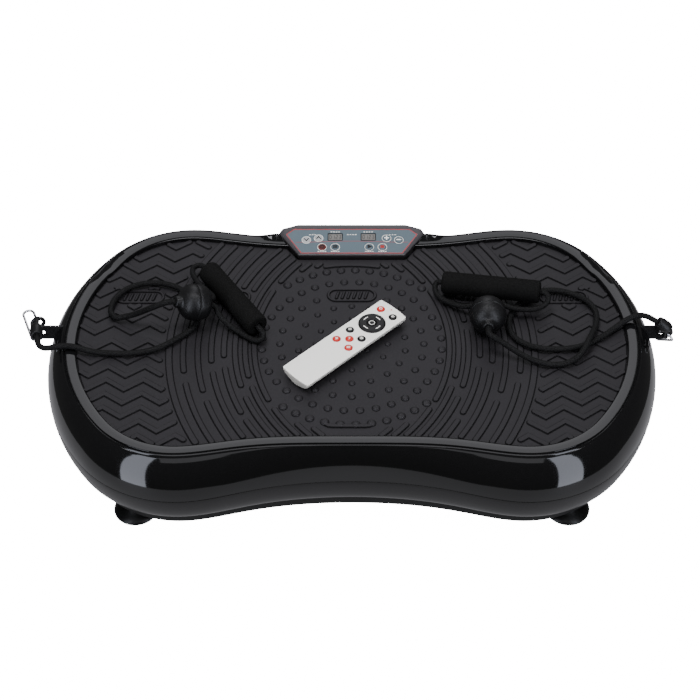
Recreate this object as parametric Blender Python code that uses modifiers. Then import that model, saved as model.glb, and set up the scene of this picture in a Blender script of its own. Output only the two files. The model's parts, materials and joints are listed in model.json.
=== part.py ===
"""Vibration plate: a rocking platform on a suction-footed base, two resistance bands and a remote.

Lengths are in millimetres and become metres through MM. +X is right, +Y is back and +Z is up.
The origin is on the floor, under the middle of the plate.
"""

import math

import bmesh
import bpy
from mathutils import Matrix, Vector

MM = 0.001
GAP = 0.3

# Heights above the floor.
FOOT_HEIGHT = 12.0
TRAY_TOP = 50.0
SHELL_BOTTOM = 34.0
SEAM = 67.0
MAT_TOP = 112.0
RIM_TOP = 116.0
PIVOT_HEIGHT = 60.0

# Plan of the mat's edge: a shallow waist, two lobes and two round ends.
WAIST_HALF = 148.0
LOBE_HALF = 162.0
LOBE_X = 182.0
LOBE_RADIUS = 97.8
END_CENTRE_X = 102.5
WAIST_STEPS = 7
LOBE_STEPS = 5
END_STEPS = 4

# How far the casing stands out from the mat's edge, at the waist and at the lobes.
RIM_INNER = 1.5
RIM_OUTER = 10.0
SHOULDER = 12.5
SEAM_WAIST = 17.8
SEAM_LOBE = 31.5
BOTTOM_WAIST = 10.0
BOTTOM_LOBE = 22.0
TRAY_WAIST = 2.0
TRAY_LOBE = 13.0
WALL = 3.0
MAT_THICKNESS = 3.0
DECK_UNDERSIDE = 105.5

# The console: a wedge at the back whose top slopes up away from the user.
CONSOLE_FRONT_Y = 127.2
CONSOLE_MIDDLE_Y = 147.0
CONSOLE_FRONT_Z = 116.5
CONSOLE_SLOPE = math.radians(8.0)
CONSOLE_CORNERS = ((60.5, 127.2), (84.0, 160.0), (80.0, 167.0), (62.0, 173.0))
CONSOLE_ROOT = ((60.0, 131.0), (84.0, 151.0), (80.0, 158.0), (62.0, 163.5))
PANEL_CORNERS = ((58.0, -17.6), (76.0, 11.0), (66.5, 19.2))
PANEL_THICKNESS = 1.6
CONSOLE_KEY_RADIUS = 5.0
CONSOLE_KEYS = {
    "timer_down_key": (-52.0, 2.6),
    "timer_up_key": (-38.0, 5.2),
    "speed_up_key": (40.0, 5.2),
    "speed_down_key": (54.0, 2.6),
    "power_key": (-34.0, -7.9),
    "program_key": (-19.0, -7.9),
    "start_key": (20.0, -7.9),
    "stop_key": (35.0, -7.9),
}
DISPLAY_X = 19.0
DISPLAY_V = 7.0
DISPLAY_SIZE = (16.0, 9.5)

# The drive: motor, belt, eccentric shaft and connecting rod.
MOTOR_X = 140.0
SHAFT_X = 230.0
SHAFT_HEIGHT = 45.0
ROD_PIN_HEIGHT = 76.0
ECCENTRICITY = 4.0
SHAFT_RADIUS = 6.0
MOTOR_RADIUS = 27.0
BELT_PITCH_SMALL = 12.0
BELT_PITCH_LARGE = 24.0
BELT_THICKNESS = 2.4
BELT_Y = 50.0
FRAME_BOTTOM = 85.2
AXLE_RADIUS = 8.0
FOOT_X = 231.0
FOOT_Y = 147.0

# The inlet and switch module in the back of the base.
INLET_HEIGHT = 23.0
INLET_FACE_Y = 154.0
SOCKET_X = -12.0
SWITCH_X = 16.0

# The remote control, lying on the mat.
REMOTE_CENTRE = (-7.0, -18.6)
REMOTE_ANGLE = math.radians(44.0)
REMOTE_LENGTH = 150.0
REMOTE_WIDTH = 39.0
REMOTE_HEIGHT = 12.0
REMOTE_SIDE = 3.0
REMOTE_KEY_RADIUS = 4.4
REMOTE_KEYS = {
    "remote_power_key": (62.5, 9.0, "key_red"),
    "remote_mute_key": (63.0, -9.0, "key_black"),
    "remote_mode_key": (16.0, 9.5, "key_black"),
    "remote_time_key": (15.5, -9.0, "key_black"),
    "remote_walk_key": (6.0, 0.0, "key_red"),
    "remote_jog_key": (-4.0, 9.5, "key_red"),
    "remote_run_key": (-4.0, -9.0, "key_red"),
}
NAV_U = 40.0
NAV_RADIUS = 14.8
OK_RADIUS = 4.6

# The resistance bands. Routes are given above the mat's top.
CORD_RADIUS = 3.2
LOOP_RADIUS = 3.0
BALL_RADIUS = 20.0
GRIP_RADIUS = 12.5
GRIP_BORE = 4.2
WIRE_RADIUS = 1.5
CLIP_HALF_WIDTH = 5.9
CLIP_HALF_STRAIGHT = 18.5
TAB_Y = 18.0
TAB_MIDDLE = -10.0
TAB_HEIGHT = 19.0
TAB_ROOT_X = 309.5
TAB_HOLE_X = 340.0
TAB_ENDS = {"left": 8.0, "right": 13.0}
TAB_THICKNESS = 2.4

LEFT_CORD = (
    (-340.93, -4.36, 6.0), (-339.76, -10.6, 6.0), (-337.4, -17.0, 5.8), (-332.6, -21.8, 6.2),
    (-326.0, -23.2, 7.2), (-318.6, -22.2, 8.1), (-310.4, -21.2, 8.3), (-301.4, -21.2, 7.6),
    (-292.4, -22.2, 5.6), (-283.0, -24.2, 4.0),
    (-272.0, -26.4, 3.6), (-256.0, -27.8, 3.6), (-239.0, -27.8, 3.6), (-223.0, -25.2, 3.6),
    (-208.0, -19.4, 3.6), (-194.0, -9.4, 3.6), (-181.5, 1.6, 3.6), (-172.0, 13.6, 3.6),
    (-168.6, 27.6, 3.6), (-170.6, 42.4, 3.6), (-177.6, 56.8, 3.6), (-188.0, 69.4, 3.6),
    (-202.0, 78.4, 3.6), (-218.0, 82.0, 3.6), (-235.0, 80.4, 3.6), (-249.4, 73.4, 3.6),
    (-259.6, 62.0, 3.6), (-264.8, 48.4, 3.6), (-265.0, 35.4, 3.7), (-258.4, 26.0, 4.4),
    (-248.6, 24.6, 7.2), (-238.8, 22.0, 12.8), (-229.6, 18.2, 20.4), (-220.5, 14.0, 29.0),
    (-211.5, 11.6, 35.8), (-203.2, 11.8, 39.9), (-196.35, 14.45, 39.82), (-191.27, 16.67, 37.54),
)
RIGHT_CORD = (
    (146.59, -9.58, 23.47), (146.35, -15.52, 24.22), (148.2, -19.8, 23.6), (153.2, -22.4, 21.6),
    (160.8, -25.2, 18.0), (169.8, -28.8, 13.2), (180.0, -33.2, 8.6), (191.0, -37.8, 5.2),
    (203.0, -42.0, 3.7), (214.0, -44.4, 3.6),
    (228.6, -42.8, 3.8), (241.4, -35.4, 5.4), (249.8, -25.0, 8.8), (255.4, -13.6, 10.4),
    (260.6, -1.4, 8.4), (265.2, 11.6, 4.8), (268.2, 25.0, 3.6), (268.0, 38.0, 3.6),
    (262.8, 50.0, 3.6), (252.6, 60.2, 3.6), (239.0, 67.0, 3.6), (225.4, 70.2, 3.6),
    (212.0, 69.0, 3.6), (200.0, 62.8, 3.6), (189.0, 53.0, 3.6), (180.0, 41.0, 3.6),
    (173.8, 28.0, 3.6), (171.6, 14.6, 3.6), (174.0, 1.6, 3.6), (181.6, -9.4, 3.6),
    (193.4, -17.0, 3.6), (207.6, -20.8, 3.6), (222.6, -21.6, 3.6), (237.4, -19.6, 3.6),
    (251.6, -15.4, 3.6), (264.2, -7.4, 3.6), (275.4, 0.8, 3.6), (285.0, 8.4, 4.4),
    (293.0, 14.4, 6.4), (301.0, 18.8, 9.0), (308.6, 20.8, 11.6), (315.8, 20.0, 14.0),
    (321.8, 16.4, 15.4), (327.0, 13.77, 13.95), (332.2, 12.67, 11.16),
)
LEFT_LOOP = (
    (-159.8, 35.15, 22.66), (-155.56, 37.0, 20.76), (-152.4, 43.2, 17.0), (-154.2, 52.0, 13.6),
    (-160.0, 60.4, 11.9), (-167.0, 69.0, 11.6), (-173.8, 78.4, 12.2), (-178.2, 88.6, 12.7),
    (-177.4, 97.6, 12.9), (-170.4, 101.2, 12.9),
    (-163.4, 96.4, 12.9), (-158.0, 88.2, 12.9), (-146.4, 70.8, 12.9), (-134.8, 53.4, 12.9),
    (-123.0, 35.8, 12.9), (-112.0, 19.4, 12.9), (-104.4, 8.0, 12.8), (-99.8, 1.4, 12.2),
    (-95.8, -3.8, 9.8), (-96.8, -8.2, 6.6), (-102.8, -8.8, 4.0), (-110.6, -5.0, 3.6),
    (-118.0, 0.6, 3.8), (-126.2, 6.8, 4.8), (-134.6, 12.8, 7.2), (-141.8, 18.8, 10.2),
    (-145.8, 23.4, 14.6), (-148.4, 27.6, 18.6), (-152.48, 28.84, 20.95), (-156.3, 27.17, 22.66),
)
RIGHT_LOOP = (
    (143.85, 29.4, 18.53), (144.03, 33.86, 17.96), (140.4, 37.0, 16.4), (133.8, 36.6, 13.4),
    (126.0, 37.8, 10.2), (117.6, 41.4, 7.8), (109.0, 47.4, 6.0), (100.4, 54.4, 5.4),
    (94.2, 61.4, 6.8), (92.4, 69.0, 9.8), (95.0, 74.0, 12.2), (101.0, 73.2, 13.2),
    (110.0, 71.2, 13.8), (128.0, 67.2, 15.1), (146.0, 63.2, 16.4), (164.0, 59.2, 17.7),
    (182.0, 55.2, 19.0), (198.0, 51.6, 20.2), (208.2, 49.3, 20.9), (214.0, 46.2, 20.2),
    (215.2, 40.2, 17.6), (210.4, 34.8, 14.4), (201.0, 31.6, 12.6), (190.6, 30.9, 12.0),
    (180.0, 31.6, 12.6), (170.6, 33.6, 14.0), (162.4, 36.4, 16.0), (156.6, 37.2, 17.5),
    (152.63, 33.5, 17.96), (152.45, 29.06, 18.53),
)
BANDS = {
    "left": {
        "side": -1.0,
        "cord": LEFT_CORD,
        "loop": LEFT_LOOP,
        "ball": ((-174.0, 24.2, 29.8), (0.848, 0.37, -0.38)),
        "grip": ((-161.0, 92.8, 12.9), (-101.6, 3.8, 12.9)),
        "clip": ((-352.0, 28.5, -10.0), (-0.931, -0.365, 0.0), (-0.365, 0.931, 0.0)),
        "sleeve": ((-344.2, 13.0, 6.0), (-341.0, -4.0, 6.0)),
        "eye": ((-346.2, 30.0, -7.6), (-0.931, -0.365, 0.0), 6.7, 2.2, 0.0),
    },
    "right": {
        "side": 1.0,
        "cord": RIGHT_CORD,
        "loop": RIGHT_LOOP,
        "ball": ((147.4, 10.6, 20.9), (0.04, 0.991, -0.126)),
        "grip": ((101.0, 73.2, 13.2), (207.0, 49.6, 20.8)),
        "clip": ((342.9, 24.3, -22.2), (0.661, -0.417, -0.624), (-0.2, 0.7, -0.68)),
        "sleeve": ((347.2, 9.5, 3.1), (332.5, 12.6, 11.0)),
        "eye": ((344.7, 9.6, -4.4), (0.792, 0.609, 0.0), 4.4, 1.8, 8.8),
    },
}

COLOURS = {
    "gloss_black": ((0.012, 0.012, 0.014), 0.08, 0.0),
    "satin_black": ((0.03, 0.03, 0.032), 0.35, 0.0),
    "matte_black": ((0.022, 0.022, 0.024), 0.7, 0.0),
    "mat_rubber": ((0.045, 0.043, 0.048), 0.62, 0.0),
    "foot_rubber": ((0.012, 0.012, 0.013), 0.45, 0.0),
    "panel_blue": ((0.18, 0.23, 0.27), 0.4, 0.0),
    "display_glass": ((0.2, 0.2, 0.2), 0.2, 0.0),
    "key_grey": ((0.35, 0.38, 0.41), 0.4, 0.0),
    "key_red": ((0.72, 0.045, 0.035), 0.35, 0.0),
    "key_black": ((0.015, 0.015, 0.018), 0.35, 0.0),
    "remote_white": ((0.75, 0.75, 0.73), 0.35, 0.0),
    "cord_fabric": ((0.012, 0.012, 0.013), 0.85, 0.0),
    "foam": ((0.012, 0.012, 0.012), 0.95, 0.0),
    "ball_rubber": ((0.02, 0.02, 0.022), 0.5, 0.0),
    "webbing": ((0.06, 0.06, 0.063), 0.8, 0.0),
    "chrome": ((0.85, 0.86, 0.88), 0.12, 1.0),
    "steel": ((0.55, 0.56, 0.58), 0.35, 1.0),
    "painted_steel": ((0.05, 0.05, 0.055), 0.5, 0.0),
    "motor_paint": ((0.12, 0.13, 0.14), 0.45, 0.6),
    "belt_rubber": ((0.01, 0.01, 0.01), 0.8, 0.0),
    "board_green": ((0.02, 0.16, 0.06), 0.5, 0.0),
}


# ---------------------------------------------------------------- helpers


def material(slot):
    """The slot's material, made once."""
    found = bpy.data.materials.get(slot)
    if found:
        return found
    colour, roughness, metallic = COLOURS[slot]
    made = bpy.data.materials.new(slot)
    made.use_nodes = True
    shader = made.node_tree.nodes["Principled BSDF"]
    shader.inputs["Base Color"].default_value = (*colour, 1.0)
    shader.inputs["Roughness"].default_value = roughness
    shader.inputs["Metallic"].default_value = metallic
    return made


def place(obj, slot):
    """Puts an object in the parts collection, or in the cutters' when it has no slot."""
    if slot is None:
        cutters.objects.link(obj)
        obj.hide_render = True
        obj.display_type = "WIRE"
    else:
        parts.objects.link(obj)
        obj.data.materials.append(material(slot))
    return obj


def mesh_object(name, shape, slot, matrix=None):
    """An object from a bmesh in millimetres, its normals made to face out."""
    bmesh.ops.recalc_face_normals(shape, faces=shape.faces)
    bmesh.ops.scale(shape, vec=(MM, MM, MM), verts=shape.verts)
    mesh = bpy.data.meshes.new(name)
    shape.to_mesh(mesh)
    shape.free()
    obj = bpy.data.objects.new(name, mesh)
    if matrix:
        obj.matrix_world = in_metres(matrix)
    return place(obj, slot)


def in_metres(matrix):
    """The matrix with its millimetre translation in metres."""
    scaled = matrix.copy()
    scaled.translation *= MM
    return scaled


def shade(obj, degrees=35.0):
    obj.data.shade_smooth()
    obj.data.set_sharp_from_angle(angle=math.radians(degrees))
    return obj


def box(name, size, centre, slot=None, matrix=None):
    shape = bmesh.new()
    bmesh.ops.create_cube(shape, size=1.0)
    bmesh.ops.scale(shape, vec=size, verts=shape.verts)
    bmesh.ops.translate(shape, vec=centre, verts=shape.verts)
    return mesh_object(name, shape, slot, matrix)


def cylinder(name, radius, start, end, slot=None, segments=24):
    """A cylinder between two points."""
    start = Vector(start)
    along = Vector(end) - start
    shape = bmesh.new()
    bmesh.ops.create_cone(
        shape, cap_ends=True, segments=segments, radius1=radius, radius2=radius, depth=along.length
    )
    turn = along.to_track_quat("Z", "Y").to_matrix().to_4x4()
    bmesh.ops.transform(
        shape, matrix=Matrix.Translation(start + along / 2) @ turn, verts=shape.verts
    )
    return mesh_object(name, shape, slot)


def hull(name, points, slot=None):
    """The convex hull of the points."""
    shape = bmesh.new()
    for point in points:
        shape.verts.new(point)
    made = bmesh.ops.convex_hull(shape, input=shape.verts)
    bmesh.ops.delete(shape, geom=made["geom_interior"], context="VERTS")
    return mesh_object(name, shape, slot)


def loft(name, rings, slot=None, closed=False):
    """Faces between rings of equally many points, capped, or closed from the last to the first."""
    shape = bmesh.new()
    rows = [[shape.verts.new(point) for point in ring] for ring in rings]
    count = len(rings[0])
    pairs = list(zip(rows, rows[1:]))
    if closed:
        pairs.append((rows[-1], rows[0]))
    for lower, upper in pairs:
        for i in range(count):
            after = (i + 1) % count
            shape.faces.new((lower[i], lower[after], upper[after], upper[i]))
    if not closed:
        shape.faces.new(reversed(rows[0]))
        shape.faces.new(rows[-1])
    return mesh_object(name, shape, slot)


def turned(name, profile, slot, centre, axis, closed=False, steps=24):
    """A profile of (radius, height) pairs turned about its height, which then lies along axis."""
    mesh = bpy.data.meshes.new(name)
    points = [(radius * MM, 0.0, height * MM) for radius, height in profile]
    edges = [(i, i + 1) for i in range(len(points) - 1)]
    if closed:
        edges.append((len(points) - 1, 0))
    mesh.from_pydata(points, edges, [])
    obj = bpy.data.objects.new(name, mesh)
    turn = Vector(axis).to_track_quat("Z", "Y").to_matrix().to_4x4()
    obj.matrix_world = in_metres(Matrix.Translation(centre) @ turn)
    screw = obj.modifiers.new("turn", "SCREW")
    screw.steps = steps
    screw.render_steps = steps
    screw.use_merge_vertices = True
    screw.merge_threshold = 0.00001
    screw.use_smooth_shade = True
    return place(obj, slot)


def curve_mesh(name, curve, slot, matrix=None):
    """A curve object made a mesh object with its caps welded on."""
    guide = bpy.data.objects.new(name + "_guide", curve)
    cutters.objects.link(guide)
    graph = bpy.context.evaluated_depsgraph_get()
    mesh = bpy.data.meshes.new_from_object(guide.evaluated_get(graph))
    bpy.data.objects.remove(guide)
    shape = bmesh.new()
    shape.from_mesh(mesh)
    bpy.data.meshes.remove(mesh)
    bmesh.ops.remove_doubles(shape, verts=shape.verts, dist=0.00001)
    bmesh.ops.scale(shape, vec=(1 / MM, 1 / MM, 1 / MM), verts=shape.verts)
    return mesh_object(name, shape, slot, matrix)


def plate(name, outlines, low, high, slot=None, matrix=None):
    """Flat outlines, the first one outside and the others its holes, between two heights."""
    curve = bpy.data.curves.new(name, "CURVE")
    curve.dimensions = "2D"
    curve.fill_mode = "BOTH"
    curve.extrude = (high - low) / 2 * MM
    for outline in outlines:
        spline = curve.splines.new("POLY")
        spline.points.add(len(outline) - 1)
        spline.use_cyclic_u = True
        for point, (x, y) in zip(spline.points, outline):
            point.co = (x * MM, y * MM, 0.0, 1.0)
    lift = Matrix.Translation((0.0, 0.0, (low + high) / 2))
    return curve_mesh(name, curve, slot, (matrix or Matrix()) @ lift)


def tube(name, points, radius, slot, cyclic=False, resolution=2, as_mesh=False):
    """A round wire through the points, as a curve object or, for a Boolean, as a mesh."""
    curve = bpy.data.curves.new(name, "CURVE")
    curve.dimensions = "3D"
    curve.bevel_depth = radius * MM
    curve.bevel_resolution = resolution
    curve.use_fill_caps = not cyclic
    spline = curve.splines.new("POLY")
    spline.points.add(len(points) - 1)
    spline.use_cyclic_u = cyclic
    for point, place_at in zip(spline.points, points):
        point.co = (*(Vector(place_at) * MM), 1.0)
    if as_mesh:
        return curve_mesh(name, curve, slot)
    return place(bpy.data.objects.new(name, curve), slot)


def smooth_route(points):
    """Two points for each one given, on a Catmull-Rom curve through them that leaves straight."""
    route = [Vector(point) for point in points]
    ends = [2 * route[0] - route[1], *route, 2 * route[-1] - route[-2]]
    made = []
    for i in range(1, len(ends) - 2):
        before, start, end, after = ends[i - 1 : i + 3]
        for t in (0.0, 0.5):
            made.append(
                0.5
                * (
                    2 * start
                    + (end - before) * t
                    + (2 * before - 5 * start + 4 * end - after) * t**2
                    + (3 * start - before - 3 * end + after) * t**3
                )
            )
    made.append(route[-1])
    made[1] = (route[0] + route[1]) / 2
    made[-2] = (route[-1] + route[-2]) / 2
    return made


def boolean(obj, other, operation="DIFFERENCE"):
    modifier = obj.modifiers.new(operation.lower(), "BOOLEAN")
    modifier.operation = operation
    modifier.object = other
    modifier.solver = "EXACT"
    return obj


def circle(x, y, radius, segments=24):
    steps = [2 * math.pi * i / segments for i in range(segments)]
    return [(x + radius * math.cos(angle), y + radius * math.sin(angle)) for angle in steps]


def two_circle_outline(first, first_radius, second, second_radius, segments=12):
    """The outline of a belt round two circles, second to the right of, or above, the first."""
    first = Vector(first)
    line = Vector(second) - first
    heading = math.atan2(line.y, line.x)
    lean = math.acos((first_radius - second_radius) / line.length)
    points = []
    for centre, radius, start, sweep in (
        (Vector(second), second_radius, heading - lean, 2 * lean),
        (first, first_radius, heading + lean, 2 * math.pi - 2 * lean),
    ):
        for i in range(segments + 1):
            angle = start + sweep * i / segments
            points.append(
                (centre.x + radius * math.cos(angle), centre.y + radius * math.sin(angle))
            )
    return points


def upright(y):
    """Turns a flat outline's own X and Y to world X and Z, with its thickness along Y."""
    return Matrix.Translation((0.0, y, 0.0)) @ Matrix.Rotation(math.radians(90.0), 4, "X")


# ---------------------------------------------------------------- plan of the plate


def quarter():
    """(point, outward normal) along a quarter of the mat's edge, from the right end to the waist."""
    lobe_y = LOBE_HALF - LOBE_RADIUS
    reach = math.hypot(LOBE_X - END_CENTRE_X, lobe_y)
    join = math.atan2(lobe_y, LOBE_X - END_CENTRE_X)
    made = []
    for i in range(END_STEPS):
        angle = join * i / END_STEPS
        normal = Vector((math.cos(angle), math.sin(angle)))
        made.append((Vector((END_CENTRE_X, 0.0)) + (LOBE_RADIUS + reach) * normal, normal))
    for i in range(LOBE_STEPS):
        angle = join + (math.pi / 2 - join) * i / LOBE_STEPS
        normal = Vector((math.cos(angle), math.sin(angle)))
        made.append((Vector((LOBE_X, lobe_y)) + LOBE_RADIUS * normal, normal))
    for i in range(WAIST_STEPS + 1):
        share = 1.0 - i / WAIST_STEPS
        rise = (LOBE_HALF - WAIST_HALF) / 2
        y = WAIST_HALF + rise * (1.0 - math.cos(math.pi * share**2))
        slope = rise * math.sin(math.pi * share**2) * 2 * math.pi * share / LOBE_X
        made.append((Vector((LOBE_X * share, y)), Vector((-slope, 1.0)).normalized()))
    return made


def edge():
    """The whole edge, anticlockwise from the right end."""
    first = quarter()

    def mirrored(items, x, y):
        return [(Vector((p.x * x, p.y * y)), Vector((n.x * x, n.y * y))) for p, n in items]

    return (
        first[:-1]
        + mirrored(first[:0:-1], -1, 1)
        + mirrored(first[:-1], -1, -1)
        + mirrored(first[:0:-1], 1, -1)
    )


def offset_outline(waist, lobe):
    """The edge moved out, by waist at the middle and by lobe from the lobes outwards."""
    made = []
    for point, normal in edge():
        share = min(1.0, abs(point.x) / LOBE_X)
        share = share * share * (3.0 - 2.0 * share)
        moved = point + normal * (waist + (lobe - waist) * share)
        made.append((moved.x, moved.y))
    return made


def ring(waist, lobe, z):
    return [(x, y, z) for x, y in offset_outline(waist, lobe)]


def console_z(y):
    return CONSOLE_FRONT_Z + (y - CONSOLE_FRONT_Y) * math.tan(CONSOLE_SLOPE)


def console_matrix():
    """The console's own frame: X right, Y up the slope, Z out of the panel."""
    middle = (0.0, CONSOLE_MIDDLE_Y, console_z(CONSOLE_MIDDLE_Y))
    return Matrix.Translation(middle) @ Matrix.Rotation(CONSOLE_SLOPE, 4, "X")


def both_sides(corners):
    """Corners on the right, then their mirror images, as one anticlockwise outline."""
    return [*corners, *[(-x, y) for x, y in reversed(corners)]]


def console_block(name, inset, top_drop, root_z):
    top = both_sides(CONSOLE_CORNERS)
    root = both_sides(CONSOLE_ROOT)
    points = []
    for outline, height in ((top, None), (root, root_z)):
        middle = Vector((0.0, sum(y for _, y in outline) / len(outline)))
        for x, y in outline:
            moved = Vector((x - math.copysign(inset, x), y - math.copysign(inset, y - middle.y)))
            z = console_z(moved.y) - top_drop if height is None else height
            points.append((moved.x, moved.y, z))
    return hull(name, points)


# ---------------------------------------------------------------- platform


def shell_profile(steps):
    """(waist, lobe, height) down the top shell's side, a quarter of an ellipse."""
    top = RIM_TOP - 2.0
    made = []
    for i in range(steps + 1):
        angle = math.pi / 2 * (1.0 - i / steps)
        made.append(
            (
                SHOULDER + (SEAM_WAIST - SHOULDER) * math.sin(angle),
                SHOULDER + (SEAM_LOBE - SHOULDER) * math.sin(angle),
                top - (top - SEAM) * (1.0 - math.cos(angle)),
            )
        )
    return made


def make_top_shell():
    """The glossy top cover: rim, recess for the mat, console hump and side wall."""
    sides = [ring(w, l, max(z, SEAM + GAP / 2)) for w, l, z in shell_profile(6)]
    shell = loft("top_shell", [*sides, ring(RIM_OUTER, RIM_OUTER, RIM_TOP)], "gloss_black")
    recess = plate(
        "mat_recess_cutter", [offset_outline(RIM_INNER, RIM_INNER)], MAT_TOP - WALL - GAP, RIM_TOP + 5
    )
    boolean(shell, recess)
    boolean(shell, console_block("console_hump", 0.0, 0.0, SEAM + 3.0), "UNION")
    inner = [(w - WALL, l - WALL, z) for w, l, z in shell_profile(3)[:3]]
    cavity = [ring(*inner[0][:2], SEAM - 10.0)]
    cavity += [ring(w, l - 0.5 * i, z) for i, (w, l, z) in enumerate(inner) if z < DECK_UNDERSIDE - 6]
    cavity.append(ring(RIM_OUTER, SEAM_LOBE - 11.5, DECK_UNDERSIDE))
    boolean(shell, loft("shell_cavity_cutter", cavity))
    boolean(shell, console_block("console_cavity_cutter", 3.2, 3.4, SEAM - 10.0))
    frame = console_matrix()
    pocket = panel_outline(GAP)
    boolean(shell, plate("panel_pocket_cutter", [pocket], -PANEL_THICKNESS - GAP, 5, matrix=frame))
    boolean(shell, plate("panel_window_cutter", [panel_outline(-4.0)], -12, 5, matrix=frame))
    for side in (-1.0, 1.0):
        slot_size = (30.0, TAB_THICKNESS + 1.0, TAB_HEIGHT + 1.0)
        centre = (side * (TAB_ROOT_X + 14.0), TAB_Y, MAT_TOP + TAB_MIDDLE)
        name = "tab_slot_cutter_left" if side < 0 else "tab_slot_cutter_right"
        boolean(shell, box(name, slot_size, centre))
    return shade(shell)


def panel_outline(grow):
    """The panel's six-sided outline in the console's frame, moved out by grow."""
    middle = 1.0
    corners = []
    for x, v in PANEL_CORNERS:
        corners.append((x + grow, v + grow * math.copysign(1.0, v - middle)))
    return both_sides(corners)


def make_lower_shell():
    """The lower casing ring, curving in from the seam to its bottom edge."""
    outside = []
    for i in range(4):
        angle = math.pi / 2 * i / 3
        drop = 1.0 - math.cos(angle)
        outside.append(
            (
                SEAM_WAIST - (SEAM_WAIST - BOTTOM_WAIST) * drop,
                SEAM_LOBE - (SEAM_LOBE - BOTTOM_LOBE) * drop,
                SEAM - GAP / 2 - (SEAM - SHELL_BOTTOM) * math.sin(angle),
            )
        )
    rings = [ring(*row) for row in outside]
    bottom = outside[-1][2]
    for waist, lobe, z in reversed(outside):
        rings.append(ring(waist - WALL, lobe - WALL, max(z, bottom + 2.0)))
    return shade(loft("lower_shell", rings, "satin_black", closed=True))


def make_mat():
    """The rubber mat, notched round the console."""
    mat = plate("standing_mat", [offset_outline(0, 0)], MAT_TOP - MAT_THICKNESS, MAT_TOP, "mat_rubber")
    notch = both_sides([(x + 1.0, y - 1.0) for x, y in CONSOLE_CORNERS])
    return boolean(mat, plate("mat_notch_cutter", [notch], MAT_TOP - 10.0, RIM_TOP + 10.0))


def make_console():
    """The console's overlay panel, the board under it and its keys."""
    frame = console_matrix()
    wide, deep = DISPLAY_SIZE
    holes = [circle(x, v, CONSOLE_KEY_RADIUS + 0.35, 16) for x, v in CONSOLE_KEYS.values()]
    for x in (-DISPLAY_X, DISPLAY_X):
        holes.append(rectangle(x, DISPLAY_V, wide, deep))
    plate("console_panel", [panel_outline(0.0), *holes], -PANEL_THICKNESS, 0.0, "panel_blue", frame)
    board_outline = panel_outline(-5.0)
    board = plate("display_board", [board_outline], -6.0, -4.6, "display_glass", frame)
    for x, name in ((-DISPLAY_X, "display_left_block"), (DISPLAY_X, "display_right_block")):
        size = (wide - 2 * GAP, deep - 2 * GAP, 4.9)
        boolean(board, box(name, size, (x, DISPLAY_V, -2.65), matrix=frame), "UNION")
    for name, (x, v) in CONSOLE_KEYS.items():
        slot = "key_red" if name in ("power_key", "stop_key") else "key_grey"
        profile = (
            (0.0, 0.7),
            (CONSOLE_KEY_RADIUS - 0.5, 0.7),
            (CONSOLE_KEY_RADIUS, 0.2),
            (CONSOLE_KEY_RADIUS, -3.6),
            (0.0, -3.6),
        )
        centre = frame @ Vector((x, v, 0.0))
        turned(name, profile, slot, centre, frame.to_3x3() @ Vector((0, 0, 1)), steps=16)


def rectangle(x, y, width, height):
    half_width, half_height = width / 2, height / 2
    return [
        (x - half_width, y - half_height),
        (x + half_width, y - half_height),
        (x + half_width, y + half_height),
        (x - half_width, y + half_height),
    ]


def make_deck_frame():
    """The steel frame under the deck, with its pivot block and the pin for the connecting rod."""
    outlines = [
        rectangle(0, 0, 520, 190),
        rectangle(117.5, 0, 185, 140),
        rectangle(-117.5, 0, 185, 140),
    ]
    frame = plate("deck_frame", outlines, FRAME_BOTTOM, DECK_UNDERSIDE - GAP, "painted_steel")
    for sign, name in ((-1, "rod_ear_front"), (1, "rod_ear_back")):
        ear = box(name, (16, 4, 24), (SHAFT_X, sign * 11.0, FRAME_BOTTOM - 8.0))
        boolean(frame, ear, "UNION")
    pin = cylinder(
        "rod_pin", 4.0, (SHAFT_X, -14, ROD_PIN_HEIGHT), (SHAFT_X, 14, ROD_PIN_HEIGHT), segments=16
    )
    boolean(frame, pin, "UNION")
    block_top = FRAME_BOTTOM + 2.0
    block_low = PIVOT_HEIGHT - 11.0
    block = box("pivot_block", (40, 120, block_top - block_low), (0, 0, (block_top + block_low) / 2))
    boolean(frame, block, "UNION")
    bore_ends = ((0, -90, PIVOT_HEIGHT), (0, 90, PIVOT_HEIGHT))
    return boolean(frame, cylinder("pivot_bore_cutter", AXLE_RADIUS + 0.4, *bore_ends))


def make_pivot():
    """The bracket on the base with the axle welded across it."""
    bracket = make_fork("pivot_bracket", 0.0, 36.0, 66.0, 73.0, 74.0)
    axle = cylinder("pivot_axle", AXLE_RADIUS, (0, -76, PIVOT_HEIGHT), (0, 76, PIVOT_HEIGHT))
    boolean(bracket, axle, "UNION")


def make_fork(name, x, width, inside, outside, top):
    """A U-shaped bracket on the base's floor, with an ear at each end."""
    floor = FOOT_HEIGHT + WALL + GAP
    outline = [
        (-outside, floor),
        (outside, floor),
        (outside, top),
        (inside, top),
        (inside, floor + 4.5),
        (-inside, floor + 4.5),
        (-inside, top),
        (-outside, top),
    ]
    across = Matrix.Rotation(math.radians(90.0), 4, "Z") @ Matrix.Rotation(math.radians(90.0), 4, "X")
    matrix = Matrix.Translation((x, 0, 0)) @ across
    return plate(name, [outline], -width / 2, width / 2, "steel", matrix)


# ---------------------------------------------------------------- base


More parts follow.
